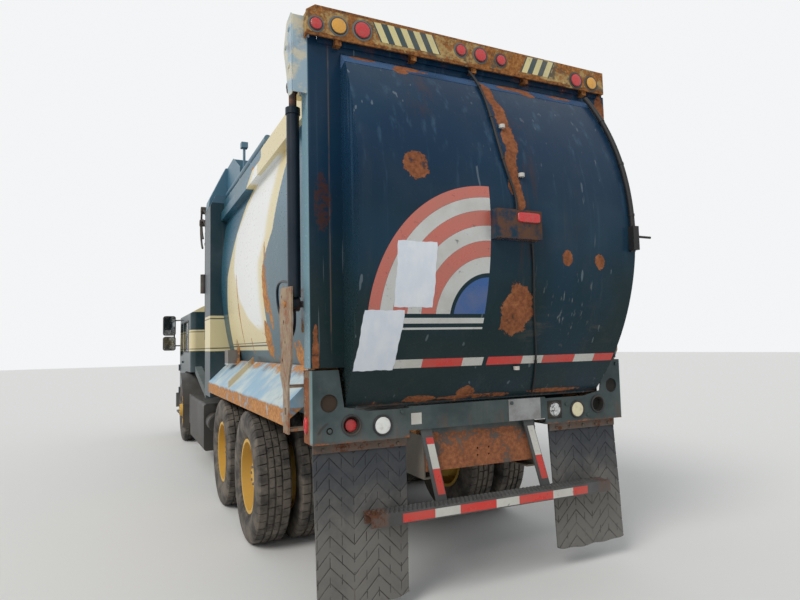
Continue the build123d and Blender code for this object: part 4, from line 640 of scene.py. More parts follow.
# Smashed lens: grey-white plastic with dark gaps
def brokenCover():
    b = Bench("brokenCover")
    gaps = b.cells(46.0, feature="DISTANCE_TO_EDGE").ramp(0.1, 0.03) * b.noise(20.0, 3.0).ramp(0.42, 0.52)
    shade = b.mix(b.noise(55.0, 4.0).ramp(0.35, 0.65), (0.44, 0.46, 0.46), (0.7, 0.71, 0.7))
    shade = b.mix(gaps, shade, (0.03, 0.03, 0.03))
    return b.finish({}, Base_Color=shade, Roughness=gaps * 0.4 + 0.35, Normal=b.bump(gaps, -0.003, 0.8))


# Aluminium sheet: brushed along the beam, dulled and spotted
def bareMetal():
    b = Bench("bareMetal")
    brush = b.noise(90.0, 3.0, 0.6, stretch=(1.0, 0.05, 1.0))
    dull = b.noise(7.0, 6.0, 0.65)
    shade = b.mix(dull.ramp(0.35, 0.75), (0.34, 0.345, 0.35), (0.17, 0.165, 0.155))
    return b.finish({}, Base_Color=shade, Roughness=brush * 0.2 + 0.38, Metallic=dull.ramp(0.8, 0.4) * 0.7,
                    Normal=b.bump(brush, 0.0003, 0.3))


def plainPlastic(name, colour, rough, dirt=0.3):
    b = Bench(name)
    fine = b.noise(300.0, 3.0, 0.6)
    dust = b.noise(4.0, 5.0, 0.6).ramp(0.4, 0.8) * dirt
    shade = b.mix(dust, colour, dustTan)
    return b.finish({}, Base_Color=shade, Roughness=dust * 0.6 + rough, Normal=b.bump(fine, 0.0004, 0.4))


# Reflective film with its fine honeycomb, scuffed through in places
def tapeFilm(name, colour):
    b = Bench(name)
    comb = b.cells(420.0, feature="DISTANCE_TO_EDGE").ramp(0.02, 0.08)
    scuff = b.noise(26.0, 8.0, 0.72).ramp(0.6, 0.68)
    grime = b.noise(5.0, 5.0, 0.6).ramp(0.35, 0.8) * 0.35
    shade = b.mix(comb * 0.25, tuple(c * 0.8 for c in colour), colour)
    shade = b.mix(grime, shade, dustTan)
    shade = b.mix(scuff * 0.75, shade, (0.045, 0.05, 0.048))
    return b.finish({"Specular IOR Level": 0.6}, Base_Color=shade, Roughness=grime * 0.5 + 0.25)


# Rolled-on white paint over an older decal, with brush edges
def paintPatch():
    b = Bench("paintPatch")
    roll = b.noise(14.0, 6.0, 0.6, stretch=(1.0, 1.0, 0.5))
    shade = b.mix(roll.ramp(0.35, 0.7), (0.66, 0.71, 0.79), (0.74, 0.78, 0.83))
    return b.finish({}, Base_Color=shade, Roughness=roll * 0.2 + 0.45, Normal=b.bump(roll, 0.001, 0.3))


# Woven seat cloth over foam: a fine check, greyed where it is sat on
def seatCloth():
    b = Bench("seatCloth")
    weave = b.cells(700.0)
    worn = b.noise(5.0, 5.0, 0.6).ramp(0.4, 0.75)
    shade = b.mix(worn * 0.5, (0.055, 0.058, 0.066), (0.12, 0.118, 0.115))
    return b.finish({"Specular IOR Level": 0.2}, Base_Color=shade, Roughness=worn * 0.1 + 0.85,
                    Normal=b.bump(weave, 0.0006, 0.5))


def mirrorFace():
    b = Bench("mirrorFace")
    dust = b.noise(6.0, 5.0, 0.6).ramp(0.4, 0.8)
    shade = b.mix(dust * 0.5, (0.75, 0.77, 0.78), dustTan)
    return b.finish({"Metallic": 1.0}, Base_Color=shade, Roughness=dust * 0.3 + 0.04)


paint = makeMaterials()
print("materials:", len(paint))


# Makes an object of a mesh, a camera or a lamp, and puts it in the scene
def addObject(name, data):
    made = bpy.data.objects.new(name, data)
    bpy.context.scene.collection.objects.link(made)
    return made


# Surfaces from numpy: grids of points, closed or open, gathered into one mesh
class Surface:
    def __init__(self):
        self.points = []
        self.faces = []
        self.count = 0

    def add(self, points, faces):
        self.points.append(np.asarray(points, float).reshape(-1, 3))
        self.faces.extend((np.asarray(faces, int) + self.count).tolist())
        self.count += len(self.points[-1])
        return self

    # A grid of points, u by v: each cell is a quad; ends along u may close on a middle point
    def grid(self, points, closedU=False, closedV=False, capped=False):
        points = np.asarray(points, float)
        nu, nv = points.shape[:2]
        rows = np.arange(nu if closedU else nu - 1)
        columns = np.arange(nv if closedV else nv - 1)
        u, v = np.meshgrid(rows, columns, indexing="ij")
        nextU, nextV = (u + 1) % nu, (v + 1) % nv
        quads = np.stack([u * nv + v, nextU * nv + v, nextU * nv + nextV, u * nv + nextV], -1)
        base = self.count
        self.add(points, quads.reshape(-1, 4))
        for row in (0, nu - 1) if capped else ():
            ring = np.arange(nv) + row * nv - (self.count - base)
            fan = np.stack([ring, np.roll(ring, -1), np.zeros(nv, int)], -1)
            self.add(points[row].mean(axis=0)[None], fan)
        return self

    # Outline of (along, radius) turned about a line through a centre along X, Y or Z
    def turn(self, outline, centre, axis, count=48):
        along, radius = np.asarray(outline, float).T
        angle = np.linspace(0, 2 * np.pi, count, endpoint=False)
        a = radius[:, None] * np.cos(angle)
        c = radius[:, None] * np.sin(angle)
        s = np.repeat(along[:, None], count, axis=1)
        order = {"x": (s, a, c), "y": (a, s, c), "z": (a, c, s)}[axis]
        return self.grid(np.stack(order, -1) + np.asarray(centre, float), closedV=True)

    # Two equal grids, front and back, closed round their edges into a thin shell
    def skin(self, front, back):
        nu, nv = front.shape[:2]
        near = np.arange(nu * nv).reshape(nu, nv)
        far = near + nu * nv

        def quads(g):
            return np.stack([g[:-1, :-1], g[1:, :-1], g[1:, 1:], g[:-1, 1:]], -1).reshape(-1, 4)

        def border(g):
            return np.concatenate([g[:-1, 0], g[-1, :-1], g[:0:-1, -1], g[0, :0:-1]])

        a, c = border(near), border(far)
        sides = np.stack([a, np.roll(a, -1), np.roll(c, -1), c], -1)
        faces = np.concatenate([quads(near), quads(far)[:, ::-1], sides])
        return self.add(np.concatenate([front.reshape(-1, 3), back.reshape(-1, 3)]), faces)

    # The same small shape at many places: points (n, 3), places (m, 3)
    def repeat(self, points, faces, places):
        every = points[None] + places[:, None, :]
        shift = np.arange(len(places))[:, None, None] * len(points)
        return self.add(every, (np.asarray(faces)[None] + shift).reshape(-1, 4))

    def build(self, name, body, slotName, material, bevel=0.0, angle=35.0, replaced=()):
        mesh = bpy.data.meshes.new(name)
        mesh.from_pydata(np.concatenate(self.points).tolist(), [], self.faces)
        work = bmesh.new()
        work.from_mesh(mesh)
        bmesh.ops.remove_doubles(work, verts=work.verts, dist=1e-6)
        bmesh.ops.recalc_face_normals(work, faces=work.faces)
        work.to_mesh(mesh)
        work.free()
        mesh.shade_smooth()
        mesh.set_sharp_from_angle(angle=math.radians(angle))
        mesh.materials.append(paint[material])
        piece = addObject(name, mesh)
        if bevel:
            rounded = piece.modifiers.new("edges", "BEVEL")
            rounded.width = bevel
            rounded.segments = 2
            rounded.limit_method = "ANGLE"
            rounded.harden_normals = True
        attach(piece, body)
        if replaced:
            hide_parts(*replaced)
        return piece


# Outlines for small turned pieces, as (along, radius); a negative height looks the other way
def boltHead(radius, shoulder, high):
    return [(0.0, 0.0), (0.0, radius), (shoulder, radius), (high, radius - 0.003), (high, 0.0)]


def disc(radius, thick=0.003):
    return [(0.0, 0.0), (0.0, radius), (thick, radius), (thick, 0.0)]


def slabPoints(low, high):
    corners = np.array([[i, j, k] for i in (0, 1) for j in (0, 1) for k in (0, 1)], float)
    return np.asarray(low, float) + corners * (np.asarray(high, float) - np.asarray(low, float))


slabFaces = [(0, 1, 3, 2), (4, 6, 7, 5), (0, 4, 5, 1), (2, 3, 7, 6), (0, 2, 6, 4), (1, 5, 7, 3)]


def bodyOf(node):
    return body_of(frame["nodes"][node])[0]


# Tyres: a closed outline of (across, radius) is carried round the axle. In the tread the radius drops into a
# middle groove, two side grooves and slots that slant across it and run out over the shoulders.
tyreSizes = {
    "half": 0.137, "treadHalf": 0.118, "crownHalf": 0.112, "crownDrop": 0.006,
    # Half of the tread's columns, and the wall as (across, drop below the tread)
    "tread": (0.0055, 0.0085, 0.026, 0.0435, 0.0465, 0.0575, 0.0605, 0.086, 0.112),
    "wall": [(0.122, -0.02), (0.128, -0.034), (0.1335, -0.06), (0.137, -0.117), (0.131, -0.165),
             (0.12, -0.196), (0.104, -0.226), (0.1, -0.238), (0.094, -0.24)],
    "lugs": 44, "slot": 0.1, "slotDepth": 0.012, "slant": 0.21, "ribs": (0.0065, 0.059),
    "grooves": (0.0, 0.052), "grooveHalf": 0.0062, "grooveDepth": 0.014,
    "shoulder": (0.105, 0.13), "shoulderDepth": 0.008,
}


def tyreSurface(surface, middle, radius, lead):
    s = tyreSizes
    columns = np.array(s["tread"])
    tread = np.concatenate([-columns[::-1], columns])
    crown = radius - s["crownDrop"] * (tread / s["crownHalf"]) ** 2
    wall = np.array(s["wall"])
    w = np.concatenate([-wall[::-1, 0], tread, wall[:, 0]])[None]
    rise = np.concatenate([radius + wall[::-1, 1], crown, radius + wall[:, 1]])
    slot = s["slot"]
    steps = np.array([0.0, 0.03, slot, slot + 0.02, 0.25, 0.5 - slot / 2, 0.5, 0.53, 0.5 + slot,
                      0.5 + slot + 0.02, 0.75, 0.94])
    turn = (np.arange(s["lugs"])[:, None] + steps[None]).ravel()[:, None] / s["lugs"]
    reach = np.abs(w)
    inTread = reach < s["treadHalf"]
    # The inner slots lie half a lug round from the outer ones
    outer = reach > s["ribs"][1]
    local = (turn * s["lugs"] + np.where(outer, 0.0, 0.5)) % 1.0
    cut = (local > 0.01) & (local < slot + 0.01)
    inSlot = cut & inTread & (reach > s["ribs"][0])
    nearest = np.min(np.abs(reach[..., None] - np.array(s["grooves"])), axis=-1)
    inGroove = (nearest < s["grooveHalf"]) & inTread
    onShoulder = cut & (reach > s["shoulder"][0]) & (reach < s["shoulder"][1])
    drop = np.maximum(inSlot * s["slotDepth"], inGroove * s["grooveDepth"])
    r = rise[None] - np.maximum(drop, onShoulder * s["shoulderDepth"])
    angle = 2 * np.pi * (turn + s["slant"] * w / s["crownHalf"] / s["lugs"] + lead)
    points = [middle[0] + r * np.cos(angle), middle[1] + w + 0 * angle, middle[2] + r * np.sin(angle)]
    surface.grid(np.stack(points, -1), closedU=True, closedV=True)


def makeTyres():
    half = tyreSizes["half"]
    for node in [n for n in frame["nodes"] if n.startswith("tyre")]:
        low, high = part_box(node)
        middle = (low + high) / 2
        twin = high.y - low.y > 0.4
        surface = Surface()
        for k, across in enumerate((low.y + half, high.y - half) if twin else (middle.y,)):
            lead = 0.013 * k + 0.07 * middle.x
            tyreSurface(surface, (middle.x, across, middle.z), (high.z - low.z) / 2, lead)
        surface.build(node + "_treaded", bodyOf(node), "tyre", "tyre", angle=38.0, replaced=(node,))


makeTyres()
print("tyres: treaded")

# Wheel nuts: hexagonal, with a washer and the stud's end, on a circle round each hub; screws on its flange
nutSizes = {
    "circle": 0.143, "count": 10, "across": 0.0165, "high": 0.022, "stud": 0.011, "studOut": 0.014,
    "screwCircle": 0.072, "screws": 8,
    # How far out the nuts and the screws sit, on the front wheels and on the others
    "front": (1.115, 1.19), "other": (0.94, 1.144),
}


def nutOutline():
    n = nutSizes
    wide, high, end = n["across"] * 1.25, n["high"], n["high"] + n["studOut"]
    return [(0.0, 0.0), (0.0, wide), (0.004, wide), (0.004, n["across"]), (high * 0.85, n["across"]),
            (high, n["across"] * 0.82), (high, n["stud"]), (end, n["stud"]), (end + 0.002, 0.0)]


def makeNuts():
    n = nutSizes
    for node in [k for k in frame["nodes"] if k.startswith("rim")]:
        low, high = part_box(node)
        middle = (low + high) / 2
        out = 1.0 if middle.y > 0 else -1.0
        face, cap = n["front" if "front" in node else "other"]
        nuts = np.linspace(0, 2 * np.pi, n["count"], endpoint=False) + 0.2 * middle.x
        screws = nuts[:n["screws"]] * 1.25
        screw = boltHead(0.011, out * 0.008, out * 0.01)
        surface = Surface()
        for outline, circle, place, angles in ((np.array(nutOutline()) * (out, 1.0), n["circle"], face, nuts),
                                               (screw, n["screwCircle"], cap, screws)):
            for angle in angles:
                where = (middle.x + circle * math.cos(angle), out * place, axleZ + circle * math.sin(angle))
                surface.turn(outline, where, "y", 6)
        surface.build(node + "_nuts", bodyOf(node), "rim_paint", "nut", angle=30.0)


makeNuts()
print("wheels: nuts on")

# The tailgate's skin: x = centre - root((radius + out)^2 - (z - middle)^2)
gateArc = {"depth": 0.4, "low": 1.215, "high": 3.42}


def onGate(across, up, out=0.0):
    half = (gateArc["high"] - gateArc["low"]) / 2
    radius = (half ** 2 + gateArc["depth"] ** 2) / (2 * gateArc["depth"])
    reach = np.sqrt((radius + out) ** 2 - (up - gateArc["low"] - half) ** 2)
    return np.stack([rearX - gateArc["depth"] + radius - reach, across, up], -1)


# A flat face that looks back, at a distance forward from the rear
def onFace(offset):
    def place(across, up, out=0.0):
        return np.stack([np.full_like(across, rearX + offset) - out, across, up], -1)
    return place


# Grid of places between two sides and two heights
def cell(side0, side1, low, high, nu=3, nv=3):
    return np.meshgrid(np.linspace(side0, side1, nu), np.linspace(low, high, nv), indexing="ij")


# Film or paint laid on a surface, with a hair's thickness
def lay(surface, place, across, up, thick=0.0008):
    return surface.skin(place(across, up, thick), place(across, up, -0.0006))


# Reflective tape from the truck's left: red and white lengths take turns. A hanger has the places of its top
# and foot across, its first colour, and its lengths from above.
tapes = {
    "high": 0.051, "gateHeight": 1.458, "stepHeight": 0.5625,
    "gate": [(0.735, 0.714), (0.712, 0.53), (0.529, 0.254), (0.253, 0.104), (0.072, -0.193),
             (-0.194, -0.358), (-0.359, -0.622), (-0.623, -0.794), (-0.795, -0.966)],
    "step": [(0.648, 0.436), (0.435, 0.26), (0.259, -0.002), (-0.003, -0.178), (-0.179, -0.449),
             (-0.45, -0.618), (-0.619, -0.744)],
    "stepFace": -0.112, "hangerFace": -0.018, "hangerSides": (-0.034, 0.016), "hangerTop": 1.05,
    "hangerHigh": 0.45,
    "hangers": [(0.435, 0.335, "Red", [(0.995, 0.955), (0.954, 0.8), (0.799, 0.64)]),
                (-0.336, -0.466, "White", [(1.01, 0.811), (0.81, 0.65)])],
}


def ofColour(lengths, colour, first="Red"):
    return lengths[0 if colour == first else 1::2]


def makeTapes():
    half = tapes["high"] / 2
    for colour in ("Red", "White"):
        gate, step = Surface(), Surface()
        up = tapes["gateHeight"]
        for start, end in ofColour(tapes["gate"], colour):
            lay(gate, onGate, *cell(start, end, up - half, up + half, 3, 5))
        gate.build("gate_tape_" + colour.lower(), "tailgate", "body_paint", "tape" + colour)
        up = tapes["stepHeight"]
        for start, end in ofColour(tapes["step"], colour):
            lay(step, onFace(tapes["stepFace"]), *cell(start, end, up - half, up + half))
        for top, foot, first, lengths in tapes["hangers"]:
            for high, low in ofColour(lengths, colour, first):
                across, up = cell(*tapes["hangerSides"], low, high)
                lean = (foot - top) * (tapes["hangerTop"] - up) / tapes["hangerHigh"]
                lay(step, onFace(tapes["hangerFace"]), across + top + lean, up)
        step.build("step_tape_" + colour.lower(), "chassis", "rusty_paint", "tape" + colour)


# Generic painted device on the tailgate's left: quarter rings round a corner, over two bars
device = {
    "corner": (0.165, 1.745),
    "rings": [(0.0, 0.215, "decalBlue"), (0.24, 0.335, "decalWhite"), (0.336, 0.43, "decalRed"),
              (0.431, 0.52, "decalWhite"), (0.521, 0.61, "decalRed"), (0.611, 0.69, "decalWhite"),
              (0.691, 0.76, "decalRed")],
    "bars": [(0.165, 0.925, 1.69, 1.722), (0.165, 0.8, 1.655, 1.667)],
    # Paint rolled over older film: sides and heights
    "patches": [(0.773, 0.527, 1.782, 2.147), (0.962, 0.715, 1.426, 1.764)],
}


def makeDevice():
    for number, (inner, outer, colour) in enumerate(device["rings"]):
        turn, reach = np.meshgrid(np.linspace(0, np.pi / 2, 40), np.linspace(inner, outer, 5), indexing="ij")
        across = device["corner"][0] + reach * np.cos(turn)
        up = device["corner"][1] + reach * np.sin(turn)
        lay(Surface(), onGate, across, up).build("device_ring_%d" % number, "tailgate", "body_paint", colour)
    surface = Surface()
    for start, end, low, high in device["bars"]:
        lay(surface, onGate, *cell(start, end, low, high))
    surface.build("device_bars", "tailgate", "body_paint", "decalWhite")
    surface = Surface()
    for start, end, low, high in device["patches"]:
        across, up = cell(start, end, low, high, 40, 40)
        u, v = cell(-1.0, 1.0, -1.0, 1.0, 40, 40)
        lean = 0.008 * (v + 1) * (low < 1.5)
        across = across + 0.002 * u * np.sin(31.0 * up + 3.0 * start) + 0.0012 * u * np.sin(97.0 * up) - lean
        up = up + 0.0016 * v * np.sin(37.0 * across) + 0.001 * v * np.sin(113.0 * across)
        lay(surface, onGate, across, up, 0.0016)
    surface.build("rolled_patches", "tailgate", "body_paint", "patch")


# Leaning stripes on the light bar, cream on teal
barStripes = {"low": 3.452, "high": 3.572, "lean": 0.055, "wide": 0.046, "pitch": 0.09, "margin": 0.01,
              "face": -0.062, "groups": [(0.735, 5, 1.0), (-0.38, 3, -1.0)]}


def makeStripes():
    b = barStripes
    cream, teal = Surface(), Surface()
    u, v = cell(0.0, 1.0, 0.0, 1.0)
    up = b["low"] + (b["high"] - b["low"]) * v
    for start, count, way in b["groups"]:
        lean = b["lean"] * way * (v - 0.5)
        length = (count - 1) * b["pitch"] + b["wide"] + b["margin"] * 2
        lay(teal, onFace(b["face"]), start - length * u + lean, up, 0.0006)
        for k in range(count):
            side = start - b["margin"] - k * b["pitch"]
            lay(cream, onFace(b["face"]), side - b["wide"] * u + lean, up, 0.0012)
    teal.build("bar_stripe_ground", "tailgate", "rusty_paint", "stripeDark")
    cream.build("bar_stripes", "tailgate", "rusty_paint", "stripeCream")


# Round lens that looks back: stepped rings under a shallow dome; outline columns are (along, radius)
def lensOutline(radius, depth):
    reach = np.linspace(1.0, 0.0, 15)
    rise = depth * (0.62 + 0.38 * np.sqrt(1.0 - 0.94 * reach ** 2)) + 0.0006 * (np.arange(15) % 2)
    rim = [(0.0, 0.0), (0.0, radius), (-0.5 * depth, radius)]
    return np.array(rim + list(zip(-rise, reach * radius * 0.97)))


# Rubber ring: a rounded section between two radii
def ringOutline(inner, outer, depth):
    turn = np.linspace(-0.5 * np.pi, 0.5 * np.pi, 7)
    middle, half = (inner + outer) / 2, (outer - inner) / 2
    nose = [(-depth + half * 0.6 - half * 0.6 * math.cos(t), middle - half * math.sin(t)) for t in turn]
    return np.array([(0.0, inner), (0.0, outer)] + nose + [(0.0, inner)])


# Place across, height, radius, colour
barLamps = [(1.126, 3.48, 0.036, "red"), (0.984, 3.494, 0.048, "amber"), (0.831, 3.5, 0.05, "red"),
            (0.13, 3.511, 0.036, "red"), (-0.022, 3.506, 0.044, "red"), (-0.188, 3.502, 0.036, "red"),
            (-0.845, 3.474, 0.046, "red"), (-0.99, 3.476, 0.045, "amber")]
barLampFace = 0.062
squareLamp = {"across": -0.0625, "up": 2.315, "half": (0.0815, 0.0295), "foot": 0.468, "corner": 0.35}


# Square lens with rounded corners: a superellipse carried outwards by (along, share), from middle to middle
def squareLens():
    s = squareLamp
    turn = np.linspace(0, 2 * np.pi, 64, endpoint=False)
    flat = [np.sign(wave) * np.abs(wave) ** s["corner"] for wave in (np.cos(turn), np.sin(turn))]
    steps = np.array([(0.0, 0.0), (0.0, 1.0), (-0.006, 1.0), (-0.01, 0.96), (-0.011, 0.85), (-0.0105, 0.4),
                      (-0.011, 0.0)])
    along, share = steps[:, :1], steps[:, 1:]
    return np.stack([rearX - s["foot"] + along + 0 * flat[0], s["across"] + s["half"][0] * share * flat[0],
                     s["up"] + s["half"][1] * share * flat[1]], -1)


def makeBarLamps():
    old = ("gate_lamps",)
    rings, bezels = Surface(), Surface()
    lenses = {"red": Surface(), "amber": Surface()}
    for y, z, radius, colour in barLamps:
        where = (rearX - barLampFace, y, z)
        inner, outer = radius + 0.003, radius + 0.016
        rings.turn(ringOutline(radius - 0.002, radius + 0.005, 0.009), where, "x")
        bezels.turn([(0.0, inner), (0.0, outer), (-0.002, outer), (-0.003, inner), (0.0, inner)], where, "x")
        lenses[colour].turn(lensOutline(radius - 0.001, 0.015), where, "x")
    lenses["red"].grid(squareLens(), closedV=True)
    bezels.build("bar_lamp_bezels", "tailgate", "lens", "bezel", replaced=old)
    rings.build("bar_lamp_rings", "tailgate", "lens", "rubber", replaced=old)
    for colour, surface in lenses.items():
        surface.build("gate_lenses_" + colour, "tailgate", "lens", colour, angle=25.0, replaced=old)


# Rear lamps: place across, height, radius of the opening, and what is in it
rearLamps = [(0.929, 1.11, 0.055, "sunk"), (0.732, 1.095, 0.055, "white"), (-0.556, 1.106, 0.05, "broken"),
             (-0.754, 1.095, 0.055, "cream"), (-0.942, 1.121, 0.055, "empty")]
panelFace = 0.03


def makeRearLamps():
    old = ("rear_lamps",)
    rings, wells, sunk = Surface(), Surface(), Surface()
    lenses = {"white": Surface(), "cream": Surface(), "broken": Surface()}
    x = rearX - panelFace
    for y, z, radius, kind in rearLamps:
        rings.turn(ringOutline(radius - 0.005, radius + 0.007, 0.0105), (x, y, z), "x")
        if kind in lenses:
            lenses[kind].turn(lensOutline(radius - 0.0045, 0.0108), (x, y, z), "x")
            continue
        lip, floor, back = radius - 0.009, radius - 0.014, radius - 0.004
        cup = [(0.0, lip), (0.032, floor), (0.034, 0.0), (0.038, 0.0), (0.038, back), (0.0, back), (0.0, lip)]
        wells.turn(cup, (x, y, z), "x")
        if kind == "sunk":
            sunk.turn(lensOutline(0.037, 0.016), (x + 0.031, y - 0.004, z - 0.004), "x")
    # Dark mounting plate behind the broken lamp
    lay(wells, onFace(-panelFace), *cell(-0.615, -0.497, 1.045, 1.166), 0.004)
    sunk.build("sunk_red_lens", "chassis", "lens", "red", angle=25.0, replaced=old)
    rings.build("rear_lamp_rings", "chassis", "lens", "rubber", replaced=old)
    wells.build("rear_lamp_wells", "chassis", "lens", "dark", replaced=old)
    for kind, surface in lenses.items():
        surface.build("rear_lens_" + kind, "chassis", "lens", kind, angle=25.0, replaced=old)


# Small marks on the beam and panels: a pale square, a bare metal patch with its bolt, more bolts and hole
# backs
rearMarks = {
    "square": (0.541, 0.47, 1.084, 1.153), "patch": (-0.176, -0.436, 1.052, 1.194),
    "patchBolt": (-0.2, 1.17),
    "bolts": [(1.062, 1.085), (0.6, 1.165), (-1.13, 1.4), (-0.66, 1.135), (-0.85, 1.05)],
    "brownHoles": [(1.063, 1.243, 0.06), (1.062, 1.085, 0.028)], "darkHoles": [(-1.079, 1.247, 0.058)],
}


def makeRearMarks():
    k = rearMarks
    face = onFace(-panelFace)
    square = lay(Surface(), face, *cell(*k["square"]), 0.0012)
    square.build("pale_square", "chassis", "body_paint", "tapeWhite")
    patch = lay(Surface(), face, *cell(*k["patch"], 30, 3), 0.003)
    patch.build("bare_patch", "chassis", "body_paint", "bareMetal")
    head = boltHead(0.013, -0.007, -0.009)
    bolts = Surface().turn(head, (rearX - panelFace - 0.003, *k["patchBolt"]), "x", 6)
    for y, z in k["bolts"]:
        bolts.turn(head, (rearX - panelFace, y, z), "x", 6)
    bolts.build("panel_bolts", "chassis", "body_paint", "panel", angle=30.0)
    # The brown backs are rust in the holes; the near-black back is painted shade in its hole
    for name, holes, finish in (("hole_backs", "brownHoles", "brownHole"),
                                ("dark_hole_back", "darkHoles", "dark")):
        backs = Surface()
        for y, z, radius in k[holes]:
            backs.turn(disc(radius), (rearX - 0.019, y, z), "x", 32)
        backs.build(name, "chassis", "body_paint", finish)


# Mud flaps: a sheet whose face waves a little, cut by chevron grooves and short upright ones
flapSizes = {
    "top": 1.01, "thick": 0.014, "grid": (170, 300), "groove": 0.0035,
    "sides": [("left", 0.556, 1.15, 0.552, 1.128, 0.062), ("right", -0.54, -1.13, -0.59, -1.18, 0.14)],
}


def makeFlaps():
    nu, nv = flapSizes["grid"]
    for side, topIn, topOut, footIn, footOut, foot in flapSizes["sides"]:
        u, v = cell(0.0, 1.0, 0.0, 1.0, nu, nv)
        inner, outer = footIn + (topIn - footIn) * v, footOut + (topOut - footOut) * v
        across = inner + (outer - inner) * u
        up = foot + (flapSizes["top"] - foot) * v
        # Worn foot, and corners rounded off
        away = np.abs(u - 0.5) * 2
        up = up + (1 - v) * (0.02 * away ** 8 + 0.004 * np.sin(19 * u + foot * 30))
        wave = 0.01 * np.sin(3.1 * u * np.pi + 1.2) + 0.008 * np.sin(2.6 * v * np.pi + 0.7)
        wave = (1 - v) ** 1.2 * wave
        depth = flapGrooves(np.abs(across), up) * flapSizes["groove"]
        x = rearX + 0.0215 + wave * 0.5
        front = np.stack([x + depth, across, up], -1)
        back = np.stack([x + flapSizes["thick"] - 0.002 + 0 * depth, across, up], -1)
        Surface().skin(front, back).build("flap_" + side, "chassis", "flap", "flap", angle=50.0,
                                          replaced=("rear_flaps",))


# 1 in a groove, 0 off it. Chevrons: up + slope x distance from the nearest column line, repeated every pitch
def flapGrooves(across, up):
    p = flapPattern
    column = p["column"]
    leaning = np.abs((across / column) % 2.0 - 1.0) * column
    chevron = np.abs((up + p["slope"] * leaning) % p["pitch"] - p["pitch"] / 2) < 0.0034
    beside = np.abs((across / (column / 2)) % 1.0 - 0.5) * column / 2
    upright = (beside > column / 4 - 0.0024) & ((up + p["shortLean"] * across) % p["short"] < p["short"] / 2)
    return (chevron | upright).astype(float)


# Step tread: rows of pressed, raised teeth on the bar's top, each a stack of rings of (radius, height)
treadSizes = {"start": -0.097, "rows": 4, "row": 0.03, "teeth": 60, "ends": (-0.935, 0.83), "shift": 0.0148,
              "up": 0.6,
              "tooth": [(0.0, 0.0), (0.0125, 0.0), (0.0115, 0.004), (0.0085, 0.0045), (0.0075, 0.001),
                        (0.0, 0.0008)]}


def makeStepTread():
    t = treadSizes
    tooth = np.array(t["tooth"])
    sides, loops = 8, len(tooth) - 1
    turn = np.linspace(0, 2 * np.pi, sides, endpoint=False)
    radius, high = tooth[:, :1], tooth[:, 1:]
    points = np.stack([radius * np.cos(turn), radius * np.sin(turn), high + 0 * turn], -1).reshape(-1, 3)
    loop, side = np.meshgrid(np.arange(loops) * sides, np.arange(sides), indexing="ij")
    after = (side + 1) % sides
    faces = np.stack([loop + side, loop + after, loop + sides + after, loop + sides + side], -1)
    row, y = np.meshgrid(np.arange(t["rows"]), np.linspace(*t["ends"], t["teeth"]), indexing="ij")
    x = rearX + t["start"] + t["row"] * row
    y = y + t["shift"] * (row % 2)
    places = np.stack([x, y, t["up"] + 0 * x], -1).reshape(-1, 3)
    tread = Surface().repeat(points, faces.reshape(-1, 4), places)
    tread.build("step_tread", "chassis", "rusty_paint", "stepSteel", angle=30.0)


# Flat outline (n, 2) pushed between two places along X, Y or Z
def plate(surface, outline, low, high, axis="x"):
    outline = np.asarray(outline, float)
    count = len(outline)
    a, c = outline[:, 0], outline[:, 1]

    def at(place):
        s = np.full(count, float(place))
        return np.column_stack({"x": (s, a, c), "y": (a, s, c), "z": (a, c, s)}[axis])

    base = surface.count
    surface.add(np.concatenate([at(low), at(high)]), [])
    one = np.arange(count)
    sides = np.stack([one, np.roll(one, -1), np.roll(one, -1) + count, one + count], -1) + base
    surface.faces.extend(sides.tolist() + [(one[::-1] + base).tolist(), (one + count + base).tolist()])
    return surface


def slab(surface, low, high):
    return surface.add(slabPoints(low, high), slabFaces)


# Sheet-metal head over the front frame and its wings along the roof: half widths, then places forward and up
hood = {"wall": 0.953, "wing": 0.008, "back": 3.76, "neck": 4.18, "front": 4.462, "top": 3.818, "tail": 3.34,
        "low": 3.36, "shoulder": 3.6,
        "head": [(-1.189, 3.294), (-1.176, 3.416), (-0.985, 3.818), (0.985, 3.818), (1.176, 3.416),
                 (1.189, 3.294), (1.129, 3.4215), (-1.129, 3.4215)]}


def makeHood():
    h = hood
    surface = Surface()
    plate(surface, h["head"], rearX + h["neck"], rearX + h["front"])
    low, high = (h["back"], -h["wall"], h["low"]), (h["neck"] - 0.001, h["wall"], h["top"] - 0.004)
    slab(surface, np.array(low) + (rearX, 0, 0), np.array(high) + (rearX, 0, 0))
    surface.build("hood_head", "chassis", "body_paint", "hood", bevel=0.006)
    wings = Surface()
    end = h["neck"] - 0.002
    outline = [(h["tail"], h["low"]), (h["tail"], h["shoulder"]), (h["back"], h["top"]), (end, h["top"]),
               (end, h["low"])]
    outline = np.array(outline) + (rearX, 0)
    for s in (1, -1):
        plate(wings, outline, s * (h["wall"] + 0.001), s * (h["wall"] + 0.001 + h["wing"]), "y")
    wings.build("hood_wings", "chassis", "body_paint", "hood")


# Strip behind the light bar, the flaps' clamps with their bolts, and oval side markers on the panels' returns
rearStrips = {
    "backing": ((-0.014, -1.105, 3.395), (-0.004, 1.105, 3.52)),
    "clamp": (0.01, 0.0205), "clampUp": (0.955, 1.005), "bolts": 5, "boltInset": 0.06, "boltUp": 0.975,
    "markerSide": 1.1661, "marker": (0.075, 1.115), "markerHalf": (0.026, 0.048), "markerOut": 0.017,
}


